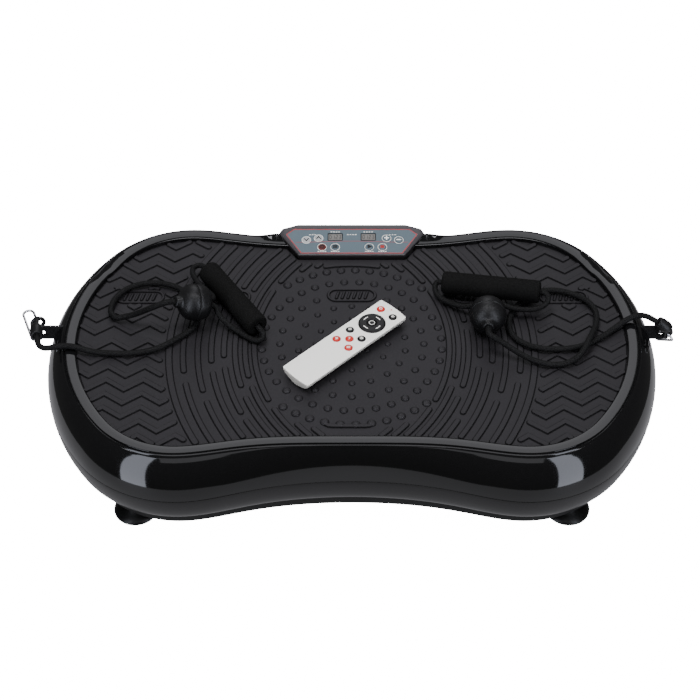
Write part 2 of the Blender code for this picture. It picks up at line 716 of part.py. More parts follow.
def make_base_tray():
    """The tray that stands on the feet: floor and low wall, with an opening for the inlet."""
    rings = [
        ring(TRAY_WAIST, TRAY_LOBE, FOOT_HEIGHT),
        ring(TRAY_WAIST + 1.5, TRAY_LOBE + 1.5, TRAY_TOP),
        ring(TRAY_WAIST + 1.5 - WALL, TRAY_LOBE + 1.5 - WALL, TRAY_TOP),
        ring(TRAY_WAIST - WALL, TRAY_LOBE - WALL, FOOT_HEIGHT + WALL),
    ]
    tray = loft("base_tray", rings, "matte_black")
    boolean(tray, box("inlet_opening_cutter", (50, 20, 17), (0, 148, INLET_HEIGHT)))
    return shade(tray)


def make_feet():
    profile = (
        (0.0, FOOT_HEIGHT - GAP),
        (10.0, FOOT_HEIGHT - GAP),
        (11.0, 9.5),
        (17.0, 6.5),
        (22.5, 3.0),
        (24.0, 1.4),
        (24.0, 0.0),
        (0.0, 0.0),
    )
    places = {
        "foot_front_left": (-FOOT_X, -FOOT_Y),
        "foot_front_right": (FOOT_X, -FOOT_Y),
        "foot_back_left": (-FOOT_X, FOOT_Y),
        "foot_back_right": (FOOT_X, FOOT_Y),
    }
    for name, (x, y) in places.items():
        turned(name, profile, "foot_rubber", (x, y, 0.0), (0, 0, 1))


def make_drive():
    """Motor, pulleys, belt, eccentric shaft with its bearings, and the connecting rod."""
    motor = cylinder(
        "motor", MOTOR_RADIUS, (MOTOR_X, -48, SHAFT_HEIGHT), (MOTOR_X, 36, SHAFT_HEIGHT), "motor_paint", 32
    )
    floor = FOOT_HEIGHT + WALL + GAP
    saddle = box("motor_saddle", (46, 50, 14), (MOTOR_X, -6, floor + 7))
    boolean(motor, saddle, "UNION")

    half = 6.0
    small = BELT_PITCH_SMALL - BELT_THICKNESS / 2 - GAP
    large = BELT_PITCH_LARGE - BELT_THICKNESS / 2 - GAP
    motor_pulley = (
        (0.0, half),
        (small + 3.0, half),
        (small + 3.0, half - 1.4),
        (small, half - 1.4),
        (small, 1.4 - half),
        (small + 3.0, 1.4 - half),
        (small + 3.0, -half),
        (4.0, -half),
        (4.0, 36.3 - BELT_Y),
        (0.0, 36.3 - BELT_Y),
    )
    turned("motor_pulley", motor_pulley, "steel", (MOTOR_X, BELT_Y, SHAFT_HEIGHT), (0, 1, 0))
    driven_pulley = (
        (SHAFT_RADIUS + GAP, half),
        (large + 3.0, half),
        (large + 3.0, half - 1.4),
        (large, half - 1.4),
        (large, 1.4 - half),
        (large + 3.0, 1.4 - half),
        (large + 3.0, -half),
        (SHAFT_RADIUS + GAP, -half),
    )
    turned("driven_pulley", driven_pulley, "steel", (SHAFT_X, BELT_Y, SHAFT_HEIGHT), (0, 1, 0), True)

    outlines = []
    for side in (BELT_THICKNESS / 2, -BELT_THICKNESS / 2):
        outlines.append(
            two_circle_outline(
                (MOTOR_X, SHAFT_HEIGHT),
                BELT_PITCH_SMALL + side,
                (SHAFT_X, SHAFT_HEIGHT),
                BELT_PITCH_LARGE + side,
            )
        )
    plate("drive_belt", outlines, -4.0, 4.0, "belt_rubber", upright(BELT_Y))

    shaft = cylinder(
        "eccentric_shaft", SHAFT_RADIUS, (SHAFT_X, 10, SHAFT_HEIGHT), (SHAFT_X, 58, SHAFT_HEIGHT), "steel"
    )
    offset = SHAFT_X + ECCENTRICITY
    for name, radius, x, start, end in (
        ("shaft_front", SHAFT_RADIUS, SHAFT_X, -30.0, -10.0),
        ("web_front", 12.0, SHAFT_X, -12.0, -8.0),
        ("journal", SHAFT_RADIUS, offset, -10.0, 10.0),
        ("web_back", 12.0, SHAFT_X, 8.0, 12.0),
    ):
        piece = cylinder(name, radius, (x, start, SHAFT_HEIGHT), (x, end, SHAFT_HEIGHT))
        boolean(shaft, piece, "UNION")
    shaft_bore = cylinder(
        "shaft_bore_cutter", SHAFT_RADIUS + 0.4, (SHAFT_X, -60, SHAFT_HEIGHT), (SHAFT_X, 60, SHAFT_HEIGHT)
    )
    boolean(make_fork("bearing_bracket", SHAFT_X, 34.0, 19.0, 26.0, 57.0), shaft_bore)

    rod = [
        two_circle_outline((SHAFT_X, SHAFT_HEIGHT), 19.5, (SHAFT_X, ROD_PIN_HEIGHT), 8.0),
        circle(SHAFT_X, SHAFT_HEIGHT, SHAFT_RADIUS + 2 * ECCENTRICITY + 1.0),
        circle(SHAFT_X, ROD_PIN_HEIGHT, 4.4, 16),
    ]
    plate("connecting_rod", rod, -6.0, 6.0, "steel", upright(0.0))


def make_electrics():
    """Control board, inlet with its switch housing, and the rocker switch."""
    board = box("control_board", (92, 62, 1.6), (-140, 0, 25), "board_green")
    for i, (x, y) in enumerate(rectangle(-140, 0, 80, 50)):
        post = cylinder(f"board_post_{i}", 3.0, (x, y, FOOT_HEIGHT + WALL + GAP), (x, y, 25), segments=12)
        boolean(board, post, "UNION")

    inlet = box("power_inlet", (54, 2, 18.6), (0, INLET_FACE_Y - 1, INLET_HEIGHT), "satin_black")
    boolean(inlet, box("inlet_body", (48, 26, 15.6), (0, INLET_FACE_Y - 14.5, INLET_HEIGHT)), "UNION")
    boolean(inlet, box("socket_cutter", (22, 20, 12), (SOCKET_X, INLET_FACE_Y - 6, INLET_HEIGHT)))
    boolean(inlet, box("switch_cutter", (16.6, 16, 11.4), (SWITCH_X, INLET_FACE_Y, INLET_HEIGHT)))
    for i, (x, z) in enumerate(((-7, 1.5), (0, -1.5), (7, 1.5))):
        blade = box(f"socket_blade_{i}", (2, 11, 4), (SOCKET_X + x, INLET_FACE_Y - 11.5, INLET_HEIGHT + z))
        boolean(inlet, blade, "UNION")
    box("power_switch", (14.6, 5.5, 10.4), (SWITCH_X, INLET_FACE_Y - 1.2, INLET_HEIGHT), "matte_black")


def make_buffers():
    places = {
        "buffer_front_left": (-190, -82),
        "buffer_front_right": (190, -82),
        "buffer_back_left": (-190, 82),
        "buffer_back_right": (190, 82),
    }
    for name, (x, y) in places.items():
        profile = (
            (0.0, 80.5),
            (9.0, 80.5),
            (11.0, 78.0),
            (11.0, 60.0),
            (8.5, 56.0),
            (8.5, 44.0),
            (11.0, 40.0),
            (11.0, FOOT_HEIGHT + WALL + GAP),
            (0.0, FOOT_HEIGHT + WALL + GAP),
        )
        turned(name, profile, "foot_rubber", (x, y, 0.0), (0, 0, 1), steps=16)


# ---------------------------------------------------------------- remote


def remote_matrix():
    """The remote's own frame: X along it to its top end, Y to its left, Z up from the mat."""
    bottom = Matrix.Translation((*REMOTE_CENTRE, MAT_TOP + GAP))
    return bottom @ Matrix.Rotation(REMOTE_ANGLE, 4, "Z")


def make_remote():
    frame = remote_matrix()
    outline = remote_outline()
    shell = plate("remote_shell", [outline], REMOTE_HEIGHT - REMOTE_SIDE, REMOTE_HEIGHT, "remote_white", frame)
    rings = []
    for height, width in ((0.0, 0.3), (0.8, 0.47), (2.2, 0.67), (4.2, 0.85), (6.6, 0.96), (9.2, 0.998)):
        length = 0.985 + 0.014 * width
        rings.append([frame @ Vector((u * length, v * width, height)) for u, v in outline])
    boolean(shell, loft("remote_belly", rings), "UNION")
    top = REMOTE_HEIGHT
    for name, (u, v, slot) in REMOTE_KEYS.items():
        start, end = frame @ Vector((u, v, top - 3.4)), frame @ Vector((u, v, top + 5))
        hole = cylinder(name + "_hole", REMOTE_KEY_RADIUS + 0.35, start, end, segments=16)
        boolean(shell, hole)
        remote_key(name, REMOTE_KEY_RADIUS, u, v, slot)
    start, end = frame @ Vector((NAV_U, 0, top - 3.4)), frame @ Vector((NAV_U, 0, top + 5))
    boolean(shell, cylinder("nav_hole", NAV_RADIUS + 0.35, start, end, segments=32))
    nav = (
        (OK_RADIUS + 0.35, 0.9),
        (NAV_RADIUS - 0.6, 0.9),
        (NAV_RADIUS, 0.3),
        (NAV_RADIUS, -2.2),
        (OK_RADIUS + 0.35, -2.2),
    )
    turned("remote_nav_ring", nav, "key_black", frame @ Vector((NAV_U, 0, top)), (0, 0, 1), True, 32)
    remote_key("remote_ok_key", OK_RADIUS, NAV_U, 0.0, "key_black")


def remote_outline():
    """Straight sides with rounded corners, and ends bowed by a shallow arc."""
    half_length, half_width, corner = REMOTE_LENGTH / 2, REMOTE_WIDTH / 2, 2.6
    bow = 1.2
    points = []
    for side, start in ((1, -90.0), (1, 0.0), (-1, 90.0), (-1, 180.0)):
        turn = 1 if start in (0.0, 90.0) else -1
        for i in range(5):
            angle = math.radians(start + 90.0 * i / 4)
            u = side * (half_length - bow - corner) + corner * math.cos(angle)
            v = turn * (half_width - corner) + corner * math.sin(angle)
            points.append((u, v))
        if start in (-90.0, 90.0):
            points.append((side * half_length, 0.0))
    return points


def remote_key(name, radius, u, v, slot):
    profile = (
        (0.0, 1.2),
        (radius * 0.6, 1.1),
        (radius, 0.5),
        (radius, -2.2),
        (0.0, -2.2),
    )
    centre = remote_matrix() @ Vector((u, v, REMOTE_HEIGHT))
    turned(name, profile, slot, centre, (0, 0, 1), steps=16)


# ---------------------------------------------------------------- resistance bands


def on_mat(point):
    """A band's point, given above the mat's top, as a height above the floor."""
    return Vector(point) + Vector((0.0, 0.0, MAT_TOP))


def make_band(side):
    band = BANDS[side]
    make_tab(side, band["side"])
    make_clip(side, band)
    make_sleeve(side, band)
    cord = [on_mat(point) for point in smooth_route(band["cord"])]
    tube(f"band_cord_{side}", cord, CORD_RADIUS, "cord_fabric")
    loop = [on_mat(point) for point in smooth_route(band["loop"])]
    tube(f"handle_loop_{side}", loop, LOOP_RADIUS, "cord_fabric")
    make_ball(side, band)
    make_grip(side, band)


def make_tab(side, sign):
    """The webbing tab that comes out of the side and ends in a round eye."""
    low = MAT_TOP + TAB_MIDDLE - TAB_HEIGHT / 2
    high = low + TAB_HEIGHT
    middle = (low + high) / 2
    outline = [(TAB_ROOT_X, low), (TAB_HOLE_X, low)]
    for i in range(1, 8):
        angle = math.radians(-90.0 + 180.0 * i / 8)
        outline.append(
            (TAB_HOLE_X + TAB_ENDS[side] * math.cos(angle), middle + TAB_HEIGHT / 2 * math.sin(angle))
        )
    outline += [(TAB_HOLE_X, high), (TAB_ROOT_X, high)]
    hole = circle(TAB_HOLE_X, middle, 4.6, 16)
    outlines = [[(sign * x, z) for x, z in outline], [(sign * x, z) for x, z in hole]]
    half = TAB_THICKNESS / 2
    plate(f"strap_tab_{side}", outlines, -half, half, "webbing", upright(TAB_Y))


def clip_matrix(band):
    centre, across, along = band["clip"]
    across = Vector(across).normalized()
    along = (Vector(along) - Vector(along).dot(across) * across).normalized()
    normal = across.cross(along)
    turn = Matrix((across, along, normal)).transposed().to_4x4()
    return Matrix.Translation(on_mat(centre)) @ turn


GATE_START = 3.0
GATE_END = 17.5


def make_clip(side, band):
    """A wire snap hook: an open oval of wire and the gate that closes it."""
    matrix = clip_matrix(band)
    points = [(-CLIP_HALF_WIDTH, CLIP_HALF_STRAIGHT)]
    for middle, start in ((CLIP_HALF_STRAIGHT, 180.0), (-CLIP_HALF_STRAIGHT, 0.0)):
        for i in range(1 if middle > 0 else 0, 9):
            angle = math.radians(start - 180.0 * i / 8)
            points.append((CLIP_HALF_WIDTH * math.cos(angle), middle + CLIP_HALF_WIDTH * math.sin(angle)))
    points.append((-CLIP_HALF_WIDTH, GATE_START - GAP))
    route = [matrix @ Vector((x, y, 0.0)) for x, y in points]
    tube(f"carabiner_{side}", route, WIRE_RADIUS, "chrome")
    ends = [matrix @ Vector((-CLIP_HALF_WIDTH, y, 0.0)) for y in (GATE_START, GATE_END + GAP)]
    cylinder(f"carabiner_gate_{side}", WIRE_RADIUS, *ends, "chrome", 12)


def make_sleeve(side, band):
    """The rubber sleeve that ends the cord, with the eye that the snap hook runs through."""
    back, mouth = (on_mat(point) for point in band["sleeve"])
    length = (mouth - back).length
    profile = (
        (0.0, length),
        (6.4, length),
        (6.9, length - 1.5),
        (7.0, length * 0.5),
        (5.4, 2.0),
        (4.2, 0.0),
        (0.0, 0.0),
    )
    sleeve = turned(f"cord_sleeve_{side}", profile, "ball_rubber", back, mouth - back, steps=20)
    low, across, radius, thickness, rise = band["eye"]
    low, across = on_mat(low), Vector(across)
    points = []
    for start, lift in ((180.0, 0.0), (0.0, rise)):
        for i in range(9):
            angle = math.radians(start + 180.0 * i / 8 if rise else start + 160.0 * i / 8)
            points.append(
                low
                + radius * across * math.cos(angle)
                + Vector((0.0, 0.0, lift + radius * math.sin(angle) * (0.4 if lift else 1.0)))
            )
    eye = tube(f"sleeve_eye_{side}", points, thickness, None, cyclic=True, as_mesh=True)
    boolean(sleeve, eye, "UNION")
    if not rise:
        neck = back + (mouth - back).normalized() * 2.0
        neck.z -= 1.0
        top = low + Vector((0.0, 0.0, radius))
        boolean(sleeve, cylinder(f"sleeve_neck_{side}", 2.6, neck, top, segments=12), "UNION")
    return sleeve


def make_ball(side, band):
    """The bell-shaped stopper: a neck, a dome, a groove and a collar."""
    centre, axis = band["ball"]
    profile = [(0.0, 18.5), (12.0, 18.5), (17.0, 16.0), (19.2, 12.0), (BALL_RADIUS, 6.0)]
    profile += [(BALL_RADIUS, 3.2), (19.3, 2.8), (19.3, 2.2), (BALL_RADIUS, 1.8)]
    for i in range(1, 6):
        angle = math.radians(13.0 * i)
        profile.append((BALL_RADIUS * math.cos(angle), 1.8 - 17.0 * math.sin(angle)))
    profile += [(6.6, -16.6), (6.2, -19.0), (5.2, -20.0), (0.0, -20.0)]
    turned(f"ball_stopper_{side}", profile, "ball_rubber", on_mat(centre), axis)


def make_grip(side, band):
    """The foam grip, a tube round the handle's cord."""
    start, end = (on_mat(point) for point in band["grip"])
    axis = end - start
    half = axis.length / 2
    profile = (
        (GRIP_BORE, half),
        (GRIP_RADIUS - 2.0, half),
        (GRIP_RADIUS, half - 2.5),
        (GRIP_RADIUS, 2.5 - half),
        (GRIP_RADIUS - 2.0, -half),
        (GRIP_BORE, -half),
    )
    turned(f"foam_grip_{side}", profile, "foam", (start + end) / 2, axis, True)


# ---------------------------------------------------------------- build

for leftover in list(bpy.data.objects):
    bpy.data.objects.remove(leftover)

parts = bpy.data.collections.new("vibration_plate")
cutters = bpy.data.collections.new("cutters")
bpy.context.scene.collection.children.link(parts)
bpy.context.scene.collection.children.link(cutters)

make_top_shell()
make_lower_shell()
make_mat()
make_console()
make_deck_frame()
make_pivot()
make_base_tray()
make_feet()
make_drive()
make_electrics()
make_buffers()
make_remote()
make_band("left")
make_band("right")
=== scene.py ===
"""Looks of the vibration plate, laid over its CAD in the shared frame.

Shapes are made in millimetres and become metres through MM. +X is right, +Y is back and +Z is up.
The origin is on the floor, under the middle of the plate.
"""

import json
import math

import bmesh
import bpy
from mathutils import Matrix, Vector

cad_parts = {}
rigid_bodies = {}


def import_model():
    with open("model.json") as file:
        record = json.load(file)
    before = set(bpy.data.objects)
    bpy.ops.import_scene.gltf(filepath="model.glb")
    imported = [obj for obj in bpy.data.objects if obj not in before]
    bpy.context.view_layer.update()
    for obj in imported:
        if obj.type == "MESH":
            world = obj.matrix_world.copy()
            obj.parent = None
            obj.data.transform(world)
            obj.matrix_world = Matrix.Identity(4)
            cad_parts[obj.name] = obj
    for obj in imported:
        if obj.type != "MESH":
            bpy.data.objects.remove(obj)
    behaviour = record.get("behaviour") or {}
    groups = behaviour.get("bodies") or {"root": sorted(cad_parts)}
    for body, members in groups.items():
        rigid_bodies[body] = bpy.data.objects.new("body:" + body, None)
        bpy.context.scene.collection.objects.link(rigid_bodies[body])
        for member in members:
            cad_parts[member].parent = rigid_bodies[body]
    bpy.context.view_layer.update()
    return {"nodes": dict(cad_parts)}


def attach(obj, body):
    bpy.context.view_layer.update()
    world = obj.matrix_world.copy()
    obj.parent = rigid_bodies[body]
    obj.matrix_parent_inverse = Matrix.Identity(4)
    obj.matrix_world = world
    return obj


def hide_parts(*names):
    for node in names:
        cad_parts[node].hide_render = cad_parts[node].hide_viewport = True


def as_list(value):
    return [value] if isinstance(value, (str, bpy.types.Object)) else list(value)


for leftover in list(bpy.data.objects):
    bpy.data.objects.remove(leftover)

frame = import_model()

MM = 0.001

# Heights above the floor.
SHELL_BOTTOM = 34.0
SEAM = 67.0
MAT_TOP = 112.0
MAT_FACE = 110.7
RIM_TOP = 116.0
TRAY_BOTTOM = 12.0
TRAY_TOP = 50.0

# Plan of the mat's edge: a waist, four lobes and two end arcs.
WAIST_HALF = 148.0
LOBE_HALF = 162.0
LOBE_X = 182.0
LOBE_RADIUS = 97.8
LOBE_Y = LOBE_HALF - LOBE_RADIUS
END_CENTRE_X = 102.5
END_REACH = math.hypot(LOBE_X - END_CENTRE_X, LOBE_Y)
END_RADIUS = LOBE_RADIUS + END_REACH
END_ANGLE = math.atan2(LOBE_Y, LOBE_X - END_CENTRE_X)

# The console.
CONSOLE_SLOPE = math.radians(8.0)
CONSOLE_Y = 147.0
CONSOLE_Z = 119.28
CONSOLE_CORNERS = ((60.5, -20.0), (84.0, 13.1), (80.0, 20.2), (62.0, 26.3))
PANEL_CORNERS = ((58.0, -17.6), (76.0, 11.0), (66.5, 19.2))
CONSOLE_KEY_RADIUS = 5.0
# Each key: its x, its place up the slope, the looks of its cap and its mark, and its icon.
CONSOLE_KEYS = {
    "timer_down": (-52.0, 2.6, "key_grey", "key_black", "down"),
    "timer_up": (-38.0, 5.2, "key_grey", "key_black", "up"),
    "speed_up": (40.0, 5.2, "panel_blue", "remote_white", "plus"),
    "speed_down": (54.0, 2.6, "panel_blue", "remote_white", "minus"),
    "power": (-34.0, -7.9, "key_dark_red", "key_black", "power"),
    "program": (-19.0, -7.9, "panel_blue", "key_black", "bars"),
    "start": (20.0, -7.9, "panel_blue", "key_black", "play"),
    "stop": (35.0, -7.9, "panel_blue", "panel_red", "stop"),
}
DISPLAY_X = 19.0
DISPLAY_V = 7.0
DISPLAY_SIZE = (16.0, 9.5)

# The remote.
REMOTE_CENTRE = (-7.0, -18.6)
REMOTE_ANGLE = math.radians(44.0)
REMOTE_LENGTH = 150.0
REMOTE_WIDTH = 39.0
REMOTE_HEIGHT = 12.0
REMOTE_GAP = 0.3
REMOTE_KEY_RADIUS = 4.4
KEY_GAP = 0.35
KEY_ROOT = -2.2
WELL_DEPTH = 3.6
# Each key: its place along the case and across it, the look of its cap, and its icon.
REMOTE_KEYS = {
    "remote_power": (62.5, 9.0, "key_red", "power"),
    "remote_mute": (63.0, -9.0, "key_black", "speaker"),
    "remote_mode": (16.0, 9.5, "key_black", "bars"),
    "remote_time": (15.5, -9.0, "key_black", "clock"),
    "remote_walk": (6.0, 0.0, "key_red", "walk"),
    "remote_jog": (-4.0, 9.5, "key_red", "jog"),
    "remote_run": (-4.0, -9.0, "key_red", "run"),
}
NAV_U = 40.0
NAV_RADIUS = 14.8
OK_RADIUS = 4.6

# The resistance bands, above the mat's top.
CORD_RADIUS = 3.2
LOOP_RADIUS = 3.0
BALL_RADIUS = 20.0
GRIP_RADIUS = 12.5
GRIP_BORE = 4.2
WIRE_RADIUS = 1.5
CLIP_HALF_WIDTH = 5.9
CLIP_HALF_STRAIGHT = 18.5
GATE_START = 3.0
GATE_END = 17.5
TAB_Y = 18.0
TAB_MIDDLE = -10.0
TAB_HEIGHT = 19.0
TAB_ROOT_X = 309.5
TAB_HOLE_X = 340.0
TAB_HOLE = 4.6
TAB_ENDS = {"left": 8.0, "right": 13.0}
TAB_THICKNESS = 2.4

LEFT_CORD = (
    (-340.93, -4.36, 6.0), (-339.76, -10.6, 6.0), (-337.4, -17.0, 5.8), (-332.6, -21.8, 6.2),
    (-326.0, -23.2, 7.2), (-318.6, -22.2, 8.1), (-310.4, -21.2, 8.3), (-301.4, -21.2, 7.6),
    (-292.4, -22.2, 5.6), (-283.0, -24.2, 4.0),
    (-272.0, -26.4, 3.6), (-256.0, -27.8, 3.6), (-239.0, -27.8, 3.6), (-223.0, -25.2, 3.6),
    (-208.0, -19.4, 3.6), (-194.0, -9.4, 3.6), (-181.5, 1.6, 3.6), (-172.0, 13.6, 3.6),
    (-168.6, 27.6, 3.6), (-170.6, 42.4, 3.6), (-177.6, 56.8, 3.6), (-188.0, 69.4, 3.6),
    (-202.0, 78.4, 3.6), (-218.0, 82.0, 3.6), (-235.0, 80.4, 3.6), (-249.4, 73.4, 3.6),
    (-259.6, 62.0, 3.6), (-264.8, 48.4, 3.6), (-265.0, 35.4, 3.7), (-258.4, 26.0, 4.4),
    (-248.6, 24.6, 7.2), (-238.8, 22.0, 12.8), (-229.6, 18.2, 20.4), (-220.5, 14.0, 29.0),
    (-211.5, 11.6, 35.8), (-203.2, 11.8, 39.9), (-196.35, 14.45, 39.82), (-191.27, 16.67, 37.54),
)
RIGHT_CORD = (
    (146.59, -9.58, 23.47), (146.35, -15.52, 24.22), (148.2, -19.8, 23.6), (153.2, -22.4, 21.6),
    (160.8, -25.2, 18.0), (169.8, -28.8, 13.2), (180.0, -33.2, 8.6), (191.0, -37.8, 5.2),
    (203.0, -42.0, 3.7), (214.0, -44.4, 3.6),
    (228.6, -42.8, 3.8), (241.4, -35.4, 5.4), (249.8, -25.0, 8.8), (255.4, -13.6, 10.4),
    (260.6, -1.4, 8.4), (265.2, 11.6, 4.8), (268.2, 25.0, 3.6), (268.0, 38.0, 3.6),
    (262.8, 50.0, 3.6), (252.6, 60.2, 3.6), (239.0, 67.0, 3.6), (225.4, 70.2, 3.6),
    (212.0, 69.0, 3.6), (200.0, 62.8, 3.6), (189.0, 53.0, 3.6), (180.0, 41.0, 3.6),
    (173.8, 28.0, 3.6), (171.6, 14.6, 3.6), (174.0, 1.6, 3.6), (181.6, -9.4, 3.6),
    (193.4, -17.0, 3.6), (207.6, -20.8, 3.6), (222.6, -21.6, 3.6), (237.4, -19.6, 3.6),
    (251.6, -15.4, 3.6), (264.2, -7.4, 3.6), (275.4, 0.8, 3.6), (285.0, 8.4, 4.4),
    (293.0, 14.4, 6.4), (301.0, 18.8, 9.0), (308.6, 20.8, 11.6), (315.8, 20.0, 14.0),
    (321.8, 16.4, 15.4), (327.0, 13.77, 13.95), (332.2, 12.67, 11.16),
)
LEFT_LOOP = (
    (-159.8, 35.15, 22.66), (-155.56, 37.0, 20.76), (-152.4, 43.2, 17.0), (-154.2, 52.0, 13.6),
    (-160.0, 60.4, 11.9), (-167.0, 69.0, 11.6), (-173.8, 78.4, 12.2), (-178.2, 88.6, 12.7),
    (-177.4, 97.6, 12.9), (-170.4, 101.2, 12.9),
    (-163.4, 96.4, 12.9), (-158.0, 88.2, 12.9), (-146.4, 70.8, 12.9), (-134.8, 53.4, 12.9),
    (-123.0, 35.8, 12.9), (-112.0, 19.4, 12.9), (-104.4, 8.0, 12.8), (-99.8, 1.4, 12.2),
    (-95.8, -3.8, 9.8), (-96.8, -8.2, 6.6), (-102.8, -8.8, 4.0), (-110.6, -5.0, 3.6),
    (-118.0, 0.6, 3.8), (-126.2, 6.8, 4.8), (-134.6, 12.8, 7.2), (-141.8, 18.8, 10.2),
    (-145.8, 23.4, 14.6), (-148.4, 27.6, 18.6), (-152.48, 28.84, 20.95), (-156.3, 27.17, 22.66),
)
RIGHT_LOOP = (
    (143.85, 29.4, 18.53), (144.03, 33.86, 17.96), (140.4, 37.0, 16.4), (133.8, 36.6, 13.4),
    (126.0, 37.8, 10.2), (117.6, 41.4, 7.8), (109.0, 47.4, 6.0), (100.4, 54.4, 5.4),
    (94.2, 61.4, 6.8), (92.4, 69.0, 9.8), (95.0, 74.0, 12.2), (101.0, 73.2, 13.2),
    (110.0, 71.2, 13.8), (128.0, 67.2, 15.1), (146.0, 63.2, 16.4), (164.0, 59.2, 17.7),
    (182.0, 55.2, 19.0), (198.0, 51.6, 20.2), (208.2, 49.3, 20.9), (214.0, 46.2, 20.2),
    (215.2, 40.2, 17.6), (210.4, 34.8, 14.4), (201.0, 31.6, 12.6), (190.6, 30.9, 12.0),
    (180.0, 31.6, 12.6), (170.6, 33.6, 14.0), (162.4, 36.4, 16.0), (156.6, 37.2, 17.5),
    (152.63, 33.5, 17.96), (152.45, 29.06, 18.53),
)
# The ball as (centre, axis), the grip and the sleeve as (start, end), the clip as (centre, across,
# along), and the sleeve's eye as (low point, across, radius, thickness, length of its straight sides).
BANDS = {
    "left": {
        "sign": -1.0,
        "cord": LEFT_CORD,
        "loop": LEFT_LOOP,
        "ball": ((-174.0, 24.2, 29.8), (0.848, 0.37, -0.38)),
        "grip": ((-161.0, 92.8, 12.9), (-101.6, 3.8, 12.9)),
        "clip": ((-352.0, 28.5, -10.0), (-0.931, -0.365, 0.0), (-0.365, 0.931, 0.0)),
        "sleeve": ((-344.2, 13.0, 6.0), (-341.0, -4.0, 6.0)),
        "eye": ((-346.2, 30.0, -7.6), (-0.931, -0.365, 0.0), 6.7, 2.2, 0.0),
    },
    "right": {
        "sign": 1.0,
        "cord": RIGHT_CORD[::-1],
        "loop": RIGHT_LOOP,
        "ball": ((147.4, 10.6, 20.9), (0.04, 0.991, -0.126)),
        "grip": ((101.0, 73.2, 13.2), (207.0, 49.6, 20.8)),
        "clip": ((342.9, 24.3, -22.2), (0.661, -0.417, -0.624), (-0.2, 0.7, -0.68)),
        "sleeve": ((347.2, 9.5, 3.1), (332.5, 12.6, 11.0)),
        "eye": ((344.7, 9.6, -4.4), (0.792, 0.609, 0.0), 4.4, 1.8, 8.8),
    },
}

# ---------------------------------------------------------------- camera and light


def placed(name, data):
    """A new object in the scene."""
    obj = bpy.data.objects.new(name, data)
    bpy.context.scene.collection.objects.link(obj)
    return obj


def mesh_of(name, shape):
    """A mesh from a bmesh, which is used up."""
    mesh = bpy.data.meshes.new(name)
    shape.to_mesh(mesh)
    shape.free()
    return mesh


def rectangle(width, height, x=0.0, y=0.0):
    """The corners of a rectangle about a point."""
    left, right = x - width / 2, x + width / 2
    low, high = y - height / 2, y + height / 2
    return [(left, low), (right, low), (right, high), (left, high)]


def face(obj, place, aim):
    """Puts an object at a place, with its -Z towards a point."""
    obj.location = place
    obj.rotation_euler = (Vector(place) - Vector(aim)).to_track_quat("Z", "Y").to_euler()


def glow(shader, tint, strength):
    """Makes a shader shine in a tint."""
    shader.inputs["Emission Color"].default_value = (*tint, 1.0)
    shader.inputs["Emission Strength"].default_value = strength


camera_data = bpy.data.cameras.new("camera")
camera_data.lens = 85.2
camera_data.sensor_width = 36.0
camera = placed("camera", camera_data)
camera.location = (-0.002, -1.267, 1.392)
camera.rotation_euler = (math.radians(44.27), 0.0, 0.0)
bpy.context.scene.camera = camera

MIDDLE = (0.0, 0.0, 0.1)
WHITE, COOL, NEUTRAL = (1.0, 1.0, 1.0), (0.84, 0.88, 1.0), (0.95, 0.95, 1.0)


def soft_light(name, place, size, power):
    """A rectangular soft box that faces the plate and doesn't show in its reflections."""
    data = bpy.data.lights.new(name, "AREA")
    data.shape = "RECTANGLE"
    data.size, data.size_y = size
    data.energy = power
    light = placed(name, data)
    face(light, place, MIDDLE)
    light.visible_glossy = False


def reflected_card(name, outline, centre, tint, strength, aim=MIDDLE):
    """A glowing card that only reflections show, so that it lights nothing."""
    shape = bmesh.new()
    shape.faces.new([shape.verts.new((x, y, 0.0)) for x, y in outline])
    material = bpy.data.materials.new(name)
    material.use_nodes = True
    shader = material.node_tree.nodes["Principled BSDF"]
    shader.inputs["Base Color"].default_value = (0.0, 0.0, 0.0, 1.0)
    glow(shader, tint, strength)
    card = placed(name, mesh_of(name, shape))
    card.data.materials.append(material)
    face(card, centre, aim)
    card.visible_camera = False
    card.visible_diffuse = False
    card.visible_shadow = False


soft_light("key_light", (-0.5, 0.1, 2.6), (1.3, 1.1), 78.0)
soft_light("fill_light", (1.2, -0.4, 2.2), (0.9, 0.9), 26.0)
for side, sign in (("left", -1.0), ("right", 1.0)):
    soft_light(f"{side}_fill", (sign * 1.55, -1.5, 0.8), (0.42, 1.2), 12.0)
    place = (sign * 1.18, -1.34, 0.85)
    reflected_card(f"{side}_card", rectangle(0.6, 3.1), place, COOL, 5.2, (0.0, 0.0, 0.85))
reflected_card("front_card", rectangle(1.7, 1.0), (0.0, -1.6, 2.1), NEUTRAL, 1.0)
reflected_card("top_card", rectangle(3.2, 0.3), (0.0, -0.15, 2.6), NEUTRAL, 9.0)
reflected_card("back_card", rectangle(1.7, 3.2), (0.0, 2.6, 2.5), NEUTRAL, 1.7)

world = bpy.data.worlds.new("studio")
bpy.context.scene.world = world
world.use_nodes = True
background = world.node_tree.nodes["Background"]
background.inputs["Color"].default_value = (*WHITE, 1.0)
background.inputs["Strength"].default_value = 0.09

# ---------------------------------------------------------------- materials

